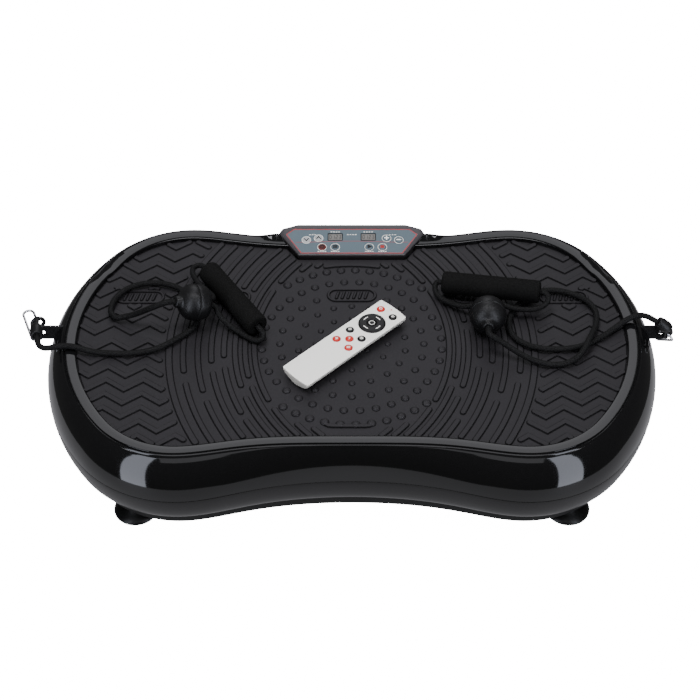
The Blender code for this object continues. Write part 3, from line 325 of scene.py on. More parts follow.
# Each look: colour, roughness, metallic, specular level, colour spread, grain in mm, bump in mm.
LOOKS = {
    "gloss_black": ((0.004, 0.004, 0.0045), 0.07, 0.0, 0.5, 0.1, 4.0, 0.002),
    "satin_black": ((0.006, 0.006, 0.0065), 0.3, 0.0, 0.4, 0.12, 0.8, 0.012),
    "matte_black": ((0.006, 0.006, 0.0065), 0.6, 0.0, 0.3, 0.15, 0.9, 0.04),
    "mat_rubber": ((0.0138, 0.0129, 0.015), 0.55, 0.0, 0.3, 0.1, 0.7, 0.03),
    # A near-black for painted shade: the dark bands round the mat's ridges, knobs and pills and along its
    # edge, where shade falls.
    "mat_painted_shade": ((0.0035, 0.0033, 0.0038), 0.7, 0.0, 0.15, 0.1, 0.7, 0.01),
    "foot_rubber": ((0.004, 0.004, 0.004), 0.34, 0.0, 0.25, 0.15, 1.5, 0.01),
    "console_satin": ((0.034, 0.032, 0.036), 0.34, 0.0, 0.45, 0.08, 0.8, 0.006),
    "panel_red": ((0.36, 0.035, 0.032), 0.42, 0.0, 0.3, 0.05, 1.0, 0.004),
    "panel_blue": ((0.082, 0.112, 0.136), 0.42, 0.0, 0.3, 0.04, 1.2, 0.004),
    "display_glass": ((0.14, 0.135, 0.13), 0.25, 0.0, 0.4, 0.06, 1.5, 0.002),
    "key_grey": ((0.36, 0.37, 0.39), 0.4, 0.0, 0.4, 0.05, 1.0, 0.004),
    "key_red": ((0.5, 0.022, 0.018), 0.42, 0.0, 0.3, 0.05, 1.0, 0.004),
    "key_dark_red": ((0.09, 0.014, 0.014), 0.42, 0.0, 0.3, 0.05, 1.0, 0.004),
    "key_black": ((0.006, 0.006, 0.0065), 0.4, 0.0, 0.3, 0.1, 1.0, 0.004),
    "remote_white": ((0.9, 0.893, 0.87), 0.42, 0.0, 0.4, 0.02, 1.2, 0.004),
    "cord_fabric": ((0.005, 0.005, 0.0052), 0.75, 0.0, 0.2, 0.4, 0.9, 0.12),
    "foam": ((0.0055, 0.0055, 0.0055), 0.95, 0.0, 0.1, 0.35, 1.1, 0.16),
    "ball_rubber": ((0.006, 0.006, 0.0066), 0.42, 0.0, 0.35, 0.15, 1.6, 0.03),
    "webbing": ((0.02, 0.02, 0.022), 0.85, 0.0, 0.2, 0.3, 0.9, 0.12),
    "chrome": ((0.82, 0.83, 0.85), 0.12, 1.0, 0.5, 0.03, 2.0, 0.002),
    "steel": ((0.5, 0.51, 0.53), 0.34, 1.0, 0.5, 0.1, 1.4, 0.01),
    "painted_steel": ((0.03, 0.03, 0.033), 0.5, 0.0, 0.4, 0.12, 1.2, 0.02),
    "motor_paint": ((0.12, 0.13, 0.14), 0.42, 0.6, 0.5, 0.1, 1.4, 0.02),
    "belt_rubber": ((0.008, 0.008, 0.008), 0.8, 0.0, 0.3, 0.2, 1.0, 0.06),
    "board_green": ((0.02, 0.16, 0.06), 0.5, 0.0, 0.4, 0.15, 2.0, 0.01),
    "floor_white": ((0.86, 0.86, 0.86), 0.6, 0.0, 0.0, 0.01, 40.0, 0.0),
}


def add_node(tree, kind, **inputs):
    """A shader node with some inputs set; an underscore in a name stands for a space."""
    made = tree.nodes.new("ShaderNode" + kind)
    for name, value in inputs.items():
        made.inputs[name.replace("_", " ")].default_value = value
    return made


def look(name):
    """The material of a look, made once: noise drives its colour, its roughness and a fine bump."""
    title = "look_" + name
    found = bpy.data.materials.get(title)
    if found:
        return found
    colour, roughness, metallic, specular, spread, grain, height = LOOKS[name]
    made = bpy.data.materials.new(title)
    made.use_nodes = True
    tree = made.node_tree
    shader = tree.nodes["Principled BSDF"]
    shader.inputs["Metallic"].default_value = metallic
    shader.inputs["Specular IOR Level"].default_value = specular
    where = add_node(tree, "TexCoord")
    fine = add_node(tree, "TexNoise", Scale=1.0 / (grain * MM), Detail=3.0)
    broad = add_node(tree, "TexNoise", Scale=14.0, Detail=2.0)
    ramp = add_node(tree, "ValToRGB")
    stops = ramp.color_ramp.elements
    for stop, place, share in zip(stops, (0.3, 0.7), (1.0 - spread, 1.0 + spread)):
        stop.position = place
        stop.color = (*[min(1.0, channel * share) for channel in colour], 1.0)
    rough = add_node(tree, "MapRange", To_Min=roughness * 0.9, To_Max=min(1.0, roughness * 1.1))
    bump = add_node(tree, "Bump", Strength=0.6, Distance=max(height, 0.001) * MM)
    for start, output, end, socket in (
        (where, "Object", fine, "Vector"),
        (where, "Object", broad, "Vector"),
        (fine, "Fac", ramp, "Fac"),
        (ramp, "Color", shader, "Base Color"),
        (broad, "Fac", rough, "Value"),
        (rough, "Result", shader, "Roughness"),
        (fine, "Fac", bump, "Height"),
        (bump, "Normal", shader, "Normal"),
    ):
        tree.links.new(start.outputs[output], end.inputs[socket])
    return made


for node in frame["nodes"].values():
    for index, old in enumerate(node.data.materials):
        node.data.materials[index] = look(old.name)

# ---------------------------------------------------------------- shape helpers


def piece(name, body, shape, look_name, replaces=(), sharp=38.0, matrix=None):
    """A mesh piece on a body, from a bmesh in millimetres."""
    bmesh.ops.recalc_face_normals(shape, faces=shape.faces)
    if matrix:
        bmesh.ops.transform(shape, matrix=matrix, verts=shape.verts)
    bmesh.ops.scale(shape, vec=(MM, MM, MM), verts=shape.verts)
    mesh = mesh_of(name, shape)
    mesh.shade_smooth()
    mesh.set_sharp_from_angle(angle=math.radians(sharp))
    return dressed(name, mesh, body, look_name, replaces)


def stand_in(node, body, shape, look_name, sharp=38.0):
    """The mesh piece that stands for one node of the CAD."""
    return piece("fine_" + node, body, shape, look_name, (node,), sharp)


def dressed(name, data, body, look_name, replaces=()):
    """The object of a piece, tied to its look, its body and the nodes that it stands for."""
    data.materials.append(look(look_name))
    obj = placed(name, data)
    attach(obj, body)
    if replaces:
        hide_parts(*replaces)
    return obj


def neighbours(rows, closed):
    """Each row with the next one and, if they close, the last with the first."""
    return zip(rows, [*rows[1:], rows[0]] if closed else rows[1:])


def add_loft(shape, rings, closed=False, caps=(True, True)):
    """Faces between rings of equally many points."""
    rows = [[shape.verts.new(point) for point in ring] for ring in rings]
    for lower, upper in neighbours(rows, closed):
        for i in range(len(lower)):
            after = (i + 1) % len(lower)
            shape.faces.new((lower[i], lower[after], upper[after], upper[i]))
    if not closed and caps[0]:
        shape.faces.new(reversed(rows[0]))
    if not closed and caps[1]:
        shape.faces.new(rows[-1])
    return rows


def add_wells(shape, rim, outlines, top, bottom):
    """Fills the top inside a rim, and sinks a well with each outline into it."""
    edges = [shape.edges.get((rim[i - 1], rim[i])) for i in range(len(rim))]
    wells = []
    for outline in outlines:
        lip = [shape.verts.new((x, y, top)) for x, y in outline]
        floor = [shape.verts.new((x, y, bottom)) for x, y in outline]
        edges += [shape.edges.new((lip[i - 1], lip[i])) for i in range(len(lip))]
        wells.append((lip, floor))
    bmesh.ops.triangle_fill(shape, edges=edges, use_beauty=True)
    for lip, floor in wells:
        for i in range(len(lip)):
            shape.faces.new((lip[i - 1], lip[i], floor[i], floor[i - 1]))
        shape.faces.new(floor)


def along(centre, axis):
    """The matrix that puts Z along an axis at a centre."""
    return Matrix.Translation(centre) @ Vector(axis).to_track_quat("Z", "Y").to_matrix().to_4x4()


def add_lathe(shape, profile, matrix, steps=48, closed=False):
    """A profile of (radius, height) pairs turned about Z. Radii of zero become one point."""
    rows = []
    for radius, height in profile:
        if radius == 0.0:
            rows.append([shape.verts.new(matrix @ Vector((0.0, 0.0, height)))])
            continue
        row = []
        for i in range(steps):
            angle = 2 * math.pi * i / steps
            spot = Vector((radius * math.cos(angle), radius * math.sin(angle), height))
            row.append(shape.verts.new(matrix @ spot))
        rows.append(row)
    for lower, upper in neighbours(rows, closed):
        for i in range(steps):
            after = (i + 1) % steps
            corners = [lower[i % len(lower)], lower[after % len(lower)]]
            corners += [upper[after % len(upper)], upper[i % len(upper)]]
            shape.faces.new(list(dict.fromkeys(corners)))


def level_rings(levels, matrix=None):
    """A ring for each (outline, height), turned by a matrix."""
    turn = matrix or Matrix()
    return [[turn @ Vector((*point, height)) for point in outline] for outline, height in levels]


def add_prism(shape, outline, low, high, matrix=None, shrink=None):
    """An outline raised from low to high. shrink is a second, smaller outline for the top."""
    add_loft(shape, level_rings(((outline, low), (shrink or outline, high)), matrix))


def add_band(shape, outer, inner, low, high, matrix=None):
    """The flat ring between two outlines of equally many points."""
    levels = ((outer, low), (outer, high), (inner, high), (inner, low))
    add_loft(shape, level_rings(levels, matrix), closed=True)


def stroke(points, width, cap_steps=5):
    """The outline of a line of this width, mitred at its corners and round at its ends."""
    route = [Vector(point) for point in points]
    half = width / 2
    left, right = [], []
    for i, spot in enumerate(route):
        before = (spot - route[i - 1]).normalized() if i else None
        after = (route[i + 1] - spot).normalized() if i < len(route) - 1 else None
        middle = ((before or after) + (after or before)).normalized()
        stretch = max(middle.dot(after or before), 0.45)
        side = Vector((-middle.y, middle.x)) * half / stretch
        left.append(spot + side)
        right.append(spot - side)

    def cap(centre, heading):
        base = math.atan2(heading.y, heading.x)
        steps = [base + math.pi / 2 - math.pi * i / (cap_steps + 1) for i in range(1, cap_steps + 1)]
        return [centre + half * Vector((math.cos(a), math.sin(a))) for a in steps]

    end = cap(route[-1], route[-1] - route[-2])
    start = cap(route[0], route[0] - route[1])
    return [tuple(point) for point in (*left, *end, *reversed(right), *start)]


def fan(start, end, steps):
    """Angles in radians between two angles in degrees, both among them."""
    return [math.radians(start + (end - start) * i / steps) for i in range(steps + 1)]


def circle(x, y, radius, steps=32):
    """Points on a circle, anticlockwise from +X."""
    angles = [2 * math.pi * i / steps for i in range(steps)]
    return [(x + radius * math.cos(angle), y + radius * math.sin(angle)) for angle in angles]


def arc(x, y, radius, start, end, steps):
    """Points on a circle between two angles in degrees, both ends among them."""
    return [(x + radius * math.cos(a), y + radius * math.sin(a)) for a in fan(start, end, steps)]


def mirrored(corners):
    """Corners on the right, then their mirror images, anticlockwise."""
    return [*corners, *[(-x, y) for x, y in reversed(corners)]]


def headings(corners):
    """(corner, heading into it, heading out of it) round a closed outline."""
    for i, corner in enumerate(corners):
        spot, before, after = (Vector(p) for p in (corner, corners[i - 1], corners[(i + 1) % len(corners)]))
        yield spot, (spot - before).normalized(), (after - spot).normalized()


def rounded(corners, radius, steps=5):
    """A convex outline with its corners rounded, the same number of points at each."""
    made = []
    for spot, into, out in headings(corners):
        turn = math.acos(max(-1.0, min(1.0, into.dot(out))))
        first = spot - into * (radius * math.tan(turn / 2))
        centre = first + Vector((-into.y, into.x)) * radius
        base = math.atan2(first.y - centre.y, first.x - centre.x)
        for j in range(steps + 1):
            angle = base + turn * j / steps
            made.append((centre.x + radius * math.cos(angle), centre.y + radius * math.sin(angle)))
    return made


def grown(corners, amount):
    """A convex anticlockwise outline with every side moved out by an amount."""
    made = []
    for spot, into, out in headings(corners):
        first, second = Vector((into.y, -into.x)), Vector((out.y, -out.x))
        middle = (first + second).normalized()
        made.append(tuple(spot + middle * amount / max(0.3, middle.dot(first))))
    return made


def dense(points, steps=6):
    """A Catmull-Rom curve through the points that leaves straight at both ends."""
    route = [Vector(point) for point in points]
    ends = [2 * route[0] - route[1], *route, 2 * route[-1] - route[-2]]
    made = []
    for i in range(1, len(ends) - 2):
        before, start, end, after = ends[i - 1 : i + 3]
        for j in range(steps):
            t = j / steps
            bend = 2 * before - 5 * start + 4 * end - after
            twist = 3 * start - before - 3 * end + after
            made.append(0.5 * (2 * start + (end - before) * t + bend * t**2 + twist * t**3))
    made.append(route[-1])
    for i in range(1, steps):
        made[i] = route[0].lerp(route[1], i / steps)
        made[-1 - i] = route[-1].lerp(route[-2], i / steps)
    return made


def tube(name, body, points, radius, look_name, replaces):
    """A round wire through the points, as a curve object."""
    curve = bpy.data.curves.new(name, "CURVE")
    curve.dimensions = "3D"
    curve.bevel_depth = radius * MM
    curve.bevel_resolution = 5
    curve.use_fill_caps = True
    spline = curve.splines.new("POLY")
    spline.points.add(len(points) - 1)
    for point, spot in zip(spline.points, points):
        point.co = (*(Vector(spot) * MM), 1.0)
    return dressed(name, curve, body, look_name, replaces)


# ---------------------------------------------------------------- bands


def on_mat(point):
    """A place given above the mat's top."""
    return Vector(point) + Vector((0.0, 0.0, MAT_TOP))


def make_cords(side, band):
    """The band's cord and the handle's loop, each a round tube, and the pieces that ride on them."""
    riders = {
        "band_cord": [make_ball(side, band), make_sleeve(side, band)],
        "handle_loop": [make_grip(side, band)],
    }
    for kind, points, radius, far_end in (
        ("band_cord", band["cord"], CORD_RADIUS, "fitting"),
        ("handle_loop", band["loop"], LOOP_RADIUS, "object"),
    ):
        name = f"{kind}_{side}"
        route = dense([on_mat(point) for point in points])
        tube("fine_" + name, "platform", route, radius, "cord_fabric", (name,))
        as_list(riders[kind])


def make_ball(side, band):
    """The bell-shaped stopper: collar, groove, dome and neck."""
    centre, axis = band["ball"]
    profile = [(0.0, 17.6), (9.4, 17.6), (10.2, 18.2), (12.0, 18.5), (14.6, 18.1), (16.6, 16.9)]
    profile += [(18.0, 14.9), (19.0, 12.4), (19.6, 9.4), (BALL_RADIUS, 6.0), (BALL_RADIUS, 3.4)]
    profile += [(19.8, 3.0), (19.3, 2.8), (19.1, 2.5), (19.3, 2.2), (19.8, 2.0)]
    for angle in fan(0.0, 65.0, 12):
        profile.append((BALL_RADIUS * math.cos(angle), 1.6 - 17.0 * math.sin(angle)))
    profile += [(7.6, -15.2), (6.9, -16.2), (6.6, -17.6), (6.2, -19.0), (5.6, -19.8), (4.6, -20.0)]
    profile += [(0.0, -19.9)]
    shape = bmesh.new()
    add_lathe(shape, profile, along(on_mat(centre), axis), 64)
    return stand_in(f"ball_stopper_{side}", "platform", shape, "ball_rubber", 55.0)


def make_sleeve(side, band):
    """The rubber sleeve at the cord's end, its neck and the eye for the snap hook."""
    back, mouth = (on_mat(point) for point in band["sleeve"])
    length = (mouth - back).length
    shape = bmesh.new()
    profile = [(0.0, length - 0.6), (3.6, length - 0.6), (4.2, length), (6.0, length)]
    profile += [(6.5, length - 0.4), (6.9, length - 1.5), (7.1, length * 0.6), (7.0, length * 0.4)]
    profile += [(6.4, length * 0.22), (5.4, 2.0), (4.8, 0.8), (4.0, 0.1), (0.0, 0.0)]
    add_lathe(shape, profile, along(back, mouth - back), 48)
    low, across, radius, thickness, rise = band["eye"]
    low, across = on_mat(low), Vector(across)
    ring = []
    for start, lift in ((180.0, 0.0), (0.0, rise)):
        for angle in fan(start, start + 180.0, 16)[: 17 if rise else 16]:
            high = lift + radius * math.sin(angle) * (0.4 if lift else 1.0)
            ring.append(low + radius * across * math.cos(angle) + Vector((0.0, 0.0, high)))
    add_wire(shape, ring, thickness, True)
    if not rise:
        neck = back + (mouth - back).normalized() * 2.0 - Vector((0.0, 0.0, 1.0))
        top = low + Vector((0.0, 0.0, radius))
        reach = (top - neck).length
        profile = [(0.0, 0.0), (2.9, 0.0), (2.5, reach / 2), (2.9, reach), (0.0, reach)]
        add_lathe(shape, profile, along(neck, top - neck), 24)
    return stand_in(f"cord_sleeve_{side}", "platform", shape, "ball_rubber", 50.0)


def add_wire(shape, points, radius, cyclic=False, sides=16):
    """A round wire as mesh rings, turned as little as possible from one to the next."""
    count = len(points)
    rings = []
    side = None
    for i, spot in enumerate(points):
        before = points[i - 1] if i or cyclic else spot
        after = points[(i + 1) % count] if i < count - 1 or cyclic else spot
        heading = (after - before).normalized()
        if side is None:
            side = heading.orthogonal()
        side = (side - side.dot(heading) * heading).normalized()
        other = heading.cross(side)
        angles = [2 * math.pi * j / sides for j in range(sides)]
        rings.append([spot + radius * (math.cos(a) * side + math.sin(a) * other) for a in angles])
    add_loft(shape, rings, closed=cyclic)


def make_grip(side, band):
    """The foam tube of the handle, its ends rounded and its bore open."""
    start, end = (on_mat(point) for point in band["grip"])
    half = (end - start).length / 2
    profile = [(GRIP_BORE, half - 1.0), (GRIP_BORE + 0.8, half - 0.1), (GRIP_BORE + 2.0, half)]
    edge = arc(GRIP_RADIUS - 3.0, half - 3.0, 3.0, 90.0, 0.0, 6)
    profile += edge
    for i in range(1, 24):
        height = half - 3.0 - (2 * half - 6.0) * i / 24
        profile.append((GRIP_RADIUS + 0.12 * math.sin(i * 1.7) * math.sin(i * 0.6), height))
    profile += [(radius, -height) for radius, height in reversed(edge)]
    profile += [(GRIP_BORE + 2.0, -half), (GRIP_BORE + 0.8, 0.1 - half), (GRIP_BORE, 1.0 - half)]
    shape = bmesh.new()
    add_lathe(shape, profile, along((start + end) / 2, end - start), 56, True)
    grip = stand_in(f"foam_grip_{side}", "platform", shape, "foam", 60.0)
    return grip


def make_tab(side, band):
    """The webbing tab, with stitching and a bound eye."""
    sign = band["sign"]
    low = MAT_TOP + TAB_MIDDLE - TAB_HEIGHT / 2
    high = low + TAB_HEIGHT
    middle = (low + high) / 2
    half = TAB_THICKNESS / 2
    reach = TAB_ENDS[side]
    half_height = TAB_HEIGHT / 2
    turns = fan(-90.0, 90.0, 16)
    outer = [(TAB_HOLE_X + reach * math.cos(a), middle + half_height * math.sin(a)) for a in turns]
    outer += [(TAB_ROOT_X, high), (TAB_ROOT_X, low)]
    inner = []
    for x, z in outer:
        angle = math.atan2((z - middle) / TAB_HEIGHT * 2, (x - TAB_HOLE_X) / reach)
        inner.append((TAB_HOLE_X + TAB_HOLE * math.cos(angle), middle + TAB_HOLE * math.sin(angle)))
    turn = Matrix.Translation((0.0, TAB_Y, 0.0)) @ Matrix.Rotation(math.radians(90.0), 4, "X")
    flip = Matrix.Diagonal((sign, 1.0, 1.0, 1.0))
    shape = bmesh.new()
    add_band(shape, outer, inner, -half, half, flip @ turn)
    eye = [Vector((sign * x, TAB_Y, z)) for x, z in circle(TAB_HOLE_X, middle, TAB_HOLE, 16)]
    add_wire(shape, eye, half + 0.25, True, 10)
    for seam in (14.0, 17.0, 20.0):
        for i in range(6):
            x, z = TAB_ROOT_X + seam, low + 2.4 + 2.6 * i
            stitch = stroke([(x, z), (x, z + 1.6)], 0.8, 3)
            add_prism(shape, stitch, -half - 0.2, half + 0.2, flip @ turn)
    stand_in(f"strap_tab_{side}", "platform", shape, "webbing", 45.0)


def make_clip(side, band):
    """The wire snap hook and its gate with a hinge nut."""
    centre, across, length = band["clip"]
    across = Vector(across).normalized()
    length = (Vector(length) - Vector(length).dot(across) * across).normalized()
    turn = Matrix((across, length, across.cross(length))).transposed().to_4x4()
    matrix = Matrix.Translation(on_mat(centre)) @ turn
    points = arc(0.0, CLIP_HALF_STRAIGHT, CLIP_HALF_WIDTH, 180.0, 0.0, 16)
    points += arc(0.0, -CLIP_HALF_STRAIGHT, CLIP_HALF_WIDTH, 0.0, -180.0, 16)
    points.append((-CLIP_HALF_WIDTH, GATE_START - 0.3))
    shape = bmesh.new()
    add_wire(shape, [matrix @ Vector((x, y, 0.0)) for x, y in points], WIRE_RADIUS)
    stand_in(f"carabiner_{side}", "platform", shape, "chrome")
    gate = bmesh.new()
    base = matrix @ Matrix.Translation((-CLIP_HALF_WIDTH, GATE_START, 0.0))
    base = base @ Matrix.Rotation(math.radians(-90.0), 4, "X")
    reach = GATE_END + 0.3 - GATE_START
    profile = [(0.0, 0.0), (1.1, 0.0), (WIRE_RADIUS, 0.4), (WIRE_RADIUS, 4.0), (1.7, 4.3), (1.7, 7.6)]
    profile += [(WIRE_RADIUS, 7.9), (WIRE_RADIUS, reach - 0.4), (1.1, reach), (0.0, reach)]
    add_lathe(gate, profile, base, 24)
    stand_in(f"carabiner_gate_{side}", f"gate_{side}", gate, "chrome")


for side, band in BANDS.items():
    make_cords(side, band)
    make_tab(side, band)
    make_clip(side, band)

# ---------------------------------------------------------------- casing

END_STEPS, LOBE_STEPS, WAIST_STEPS = 12, 18, 40


def waist_rise(x):
    """How far the mat's edge is out from its waist, between the two lobes' centres."""
    return (LOBE_HALF - WAIST_HALF) / 2 * (1.0 - math.cos(math.pi * (x / LOBE_X) ** 2))


def quarter():
    """(point, outward normal) along a quarter of the mat's edge, from the right end to the waist."""
    made = []
    for centre, radius, start, end, steps in (
        ((END_CENTRE_X, 0.0), END_RADIUS, 0.0, END_ANGLE, END_STEPS),
        ((LOBE_X, LOBE_Y), LOBE_RADIUS, END_ANGLE, math.pi / 2, LOBE_STEPS),
    ):
        for i in range(steps):
            angle = start + (end - start) * i / steps
            normal = Vector((math.cos(angle), math.sin(angle)))
            made.append((Vector(centre) + radius * normal, normal))
    for i in range(WAIST_STEPS + 1):
        share = 1.0 - i / WAIST_STEPS
        x = LOBE_X * share
        slope = (LOBE_HALF - WAIST_HALF) * math.sin(math.pi * share**2) * math.pi * share / LOBE_X
        made.append((Vector((x, WAIST_HALF + waist_rise(x))), Vector((-slope, 1.0)).normalized()))
    return made


def whole_edge():
    """The mat's whole edge, mirrored from its first quarter."""
    first = quarter()

    def flipped(items, x, y):
        return [(Vector((p.x * x, p.y * y)), Vector((n.x * x, n.y * y))) for p, n in items]

    made = [*first[:-1], *flipped(first[:0:-1], -1, 1)]
    return [*made, *flipped(first[:-1], -1, -1), *flipped(first[:0:-1], 1, -1)]


EDGE = whole_edge()


def smooth(value):
    """0 below 0, 1 above 1 and a soft step between them."""
    value = max(0.0, min(1.0, value))
    return value * value * (3.0 - 2.0 * value)


# The cover's sweep beside the console: its height, and where it starts and how soon it is whole, in
# |x|, in the distance out from the mat's edge, and in z.
SWEEP_HEIGHT = 6.0
SWEEP_X, SWEEP_X_SPAN = 114.0, 34.0
SWEEP_OUT, SWEEP_OUT_SPAN = 2.0, 7.0
SWEEP_Z, SWEEP_Z_SPAN = 92.0, 22.0
SWEEP_BACK_Y = 100.0
PANEL_END_X, PANEL_END_SPAN = 79.0, 6.0
UNDER_PANEL, OVER_PANEL = 2.8, 3.0


def console_lift(x, y, out, z):
    """How far the cover sweeps up beside the console, or down where it would pass the panel."""
    if y < SWEEP_BACK_Y:
        return 0.0
    lift = SWEEP_HEIGHT * smooth((SWEEP_X - abs(x)) / SWEEP_X_SPAN)
    lift *= smooth((out - SWEEP_OUT) / SWEEP_OUT_SPAN) * smooth((z - SWEEP_Z) / SWEEP_Z_SPAN)
    panel = CONSOLE_Z + (y - CONSOLE_Y) * math.tan(CONSOLE_SLOPE)
    top = panel - UNDER_PANEL + OVER_PANEL * smooth((abs(x) - PANEL_END_X) / PANEL_END_SPAN)
    return min(lift, top - z)


def casing_ring(waist, lobe, z, lifted=False):
    """The mat's edge moved out by an amount at the waist and another at the lobes."""
    made = []
    for point, normal in EDGE:
        out = waist + (lobe - waist) * smooth(abs(point.x) / LOBE_X)
        spot = point + normal * out
        rise = console_lift(spot.x, spot.y, out, z) if lifted else 0.0
        made.append((spot.x, spot.y, z + rise))
    return made


SHOULDER = 10.0
SIDE_FULLNESS = 1.4
SIDE_TOP = RIM_TOP - 2.0
SIDE_WAIST = 17.8
SIDE_LOBE = 31.5


def make_top_cover():
    """The glossy cover: a lip over the mat's edge, the rim and its groove, and the curved side."""
    rows = [(0.9, 0.9, 108.4), (0.7, 0.7, 110.8), (-4.2, -4.2, 110.8), (-3.9, -3.9, 113.8)]
    rows += [(-3.5, -3.5, 114.7), (-2.6, -2.6, 115.2), (-0.8, -0.8, 115.5), (0.9, 0.9, 115.8)]
    rows += [(2.5, 2.5, RIM_TOP), (6.9, 6.9, RIM_TOP), (7.4, 7.4, 115.7)]
    rows += [(7.7, 7.7, 115.0), (8.0, 8.0, 114.2), (8.6, 8.6, 114.2), (8.8, 8.9, 114.9)]
    rows += [(9.2, 9.3, 115.2), (10.0, 10.2, 115.1), (10.4, 10.7, 114.7), (10.5, 11.1, 113.9)]
    rows += [(10.6, 11.5, 113.7), (10.7, 12.0, 113.5)]
    for angle in fan(16.0, 89.5, 15):
        waist = SHOULDER + (SIDE_WAIST - SHOULDER) * (1.0 - math.cos(angle) ** 4)
        lobe = SHOULDER + (SIDE_LOBE - SHOULDER) * math.sin(angle) ** SIDE_FULLNESS
        rows.append((waist, lobe, SIDE_TOP - (SIDE_TOP - SEAM) * (1.0 - math.cos(angle))))
    rows += [(17.6, 31.3, SEAM + 0.5), (17.2, 30.9, SEAM + 0.35), (14.8, 28.5, SEAM + 0.35)]
    inner_rows = [(13.5, 25.0, 84.0), (11.0, 19.0, 98.0), (9.0, 12.0, 105.6)]
    rings = [casing_ring(*row, True) for row in rows] + [casing_ring(*row) for row in inner_rows]
    shape = bmesh.new()
    add_loft(shape, rings, closed=True)
    piece("top_cover", "platform", shape, "gloss_black", ("top_shell",), 30.0)


def make_lower_casing():
    """The satin ring under the seam, curving in to its rounded bottom edge."""
    rows = [(14.8, 28.5, SEAM - 0.35), (17.2, 30.9, SEAM - 0.35), (17.6, 31.35, SEAM - 0.6)]
    for angle in fan(3.0, 86.0, 14):
        drop = 1.0 - math.cos(angle)
        depth = (SEAM - SHELL_BOTTOM) * math.sin(angle)
        rows.append((SIDE_WAIST - 7.8 * drop, SIDE_LOBE - 9.5 * drop, SEAM - 0.3 - depth))
    rows += [(9.6, 21.6, SHELL_BOTTOM - 0.1), (8.2, 20.2, SHELL_BOTTOM), (7.2, 19.2, SHELL_BOTTOM + 0.8)]
    rows += [(8.0, 20.0, 42.0), (12.0, 25.0, 54.0)]
    shape = bmesh.new()
    add_loft(shape, [casing_ring(*row) for row in rows], closed=True)
    piece("lower_casing", "platform", shape, "satin_black", ("lower_shell",), 30.0)


def make_skirt():
    """The base tray: its floor and a low wall with rounded edges."""
    rows = [(1.2, 12.2, TRAY_BOTTOM), (2.0, 13.0, TRAY_BOTTOM + 0.8), (2.1, 13.1, TRAY_BOTTOM + 4.0)]
    rows += [(3.4, 14.4, TRAY_TOP - 1.2), (3.2, 14.2, TRAY_TOP - 0.3), (2.6, 13.6, TRAY_TOP)]
    rows += [(1.2, 12.2, TRAY_TOP), (0.6, 11.6, TRAY_TOP - 0.6), (-0.9, 10.1, TRAY_BOTTOM + 3.0)]
    shape = bmesh.new()
    add_loft(shape, [casing_ring(*row) for row in rows])
    stand_in("base_tray", "base", shape, "matte_black", 30.0)


make_top_cover()
make_lower_casing()
make_skirt()

# ---------------------------------------------------------------- mat

PATTERN_Y = -9.0
MAT_ROOT = MAT_FACE - 0.2
RIB_TOP = MAT_FACE + 1.4
# Width and top of the near-black bands of painted shade round the raised lines and knobs.
SHADE_BAND_WIDTH = 1.1
SHADE_BAND_TOP = MAT_FACE + 0.15
ARC_CENTRE_X = 93.0
DOME_PITCH = 19.5
DOME_REACH = 193.0
DOMES_IN_RING = (6, 12, 18, 24, 36, 45)
CHEVRON_INNER_RADIUS = 299.5
CHEVRON_X = 142.2
CHEVRON_STEP = 19.7
CHEVRON_RISE = 14.0
CHEVRON_Y = 153.6
CHEVRON_PITCH = 19.59
CHEVRON_GAP = 5.86
CHEVRON_WIDTH = 5.2
WIDE_RIB, NARROW_RIB = 6.0, 5.0
NOTCH_CORNERS = ((61.7, 126.0), (86.0, 160.0))
NOTCH_CLEAR_Y = 118.0
NOTCH_CLEAR = (66.0, 127.2)
NOTCH_CLEAR_SLOPE = 0.72
PILL_CLEAR = 3.5
SHORTEST_STRETCH = 0.8
PILLS = ((0.0, 76.0), (-140.0, 73.0), (140.0, 73.0), (-236.0, 73.0), (236.0, 73.0))
PILL_SIZE = (54.0, 19.6)
# Each rib: its radius, and the spans of y that it covers.
RIBS = (
    (290.5, ((-160.0, 160.0),)),
    (275.4, ((-160.0, -60.0), (-41.0, 160.0))),
    (259.5, ((-160.0, -86.0), (-69.0, 160.0))),
    (245.0, ((-160.0, -44.0), (-26.0, 160.0))),
    (231.4, ((-160.0, -112.0), (-100.0, -37.0), (-18.0, 160.0))),
    (219.3, ((-160.0, -80.0), (-62.0, 20.0), (36.0, 160.0))),
    (208.5, ((-160.0, -65.0), (-48.0, 160.0))),
    (198.5, ((-160.0, -96.0), (-82.0, 82.0), (98.0, 160.0))),
    (189.7, ((-136.0, -117.0), (117.0, 136.0))),
    (180.6, ((-136.0, -123.0), (123.0, 136.0))),
)


def edge_distance(x, y):
    """About how far a point lies inside the mat's edge."""
    x, y = abs(x), abs(y)
    if x <= LOBE_X:
        return WAIST_HALF + waist_rise(x) - y
    if math.atan2(y - LOBE_Y, x - LOBE_X) > END_ANGLE:
        return LOBE_RADIUS - math.hypot(x - LOBE_X, y - LOBE_Y)
    return END_RADIUS - math.hypot(x - END_CENTRE_X, y)


def on_free_mat(spot, margin=7.0):
    """Whether a ridge may pass: clear of the mat's edge, the console's notch and the pills."""
    x, y = spot
    clear_x, clear_y = NOTCH_CLEAR
    by_console = y > NOTCH_CLEAR_Y and abs(x) < clear_x + (y - clear_y) * NOTCH_CLEAR_SLOPE
    if by_console or edge_distance(x, y) < margin:
        return False
    wide, high = (size / 2 + PILL_CLEAR for size in PILL_SIZE)
    return not any(abs(x - u) < wide and abs(y - v - PATTERN_Y) < high for u, v in PILLS)


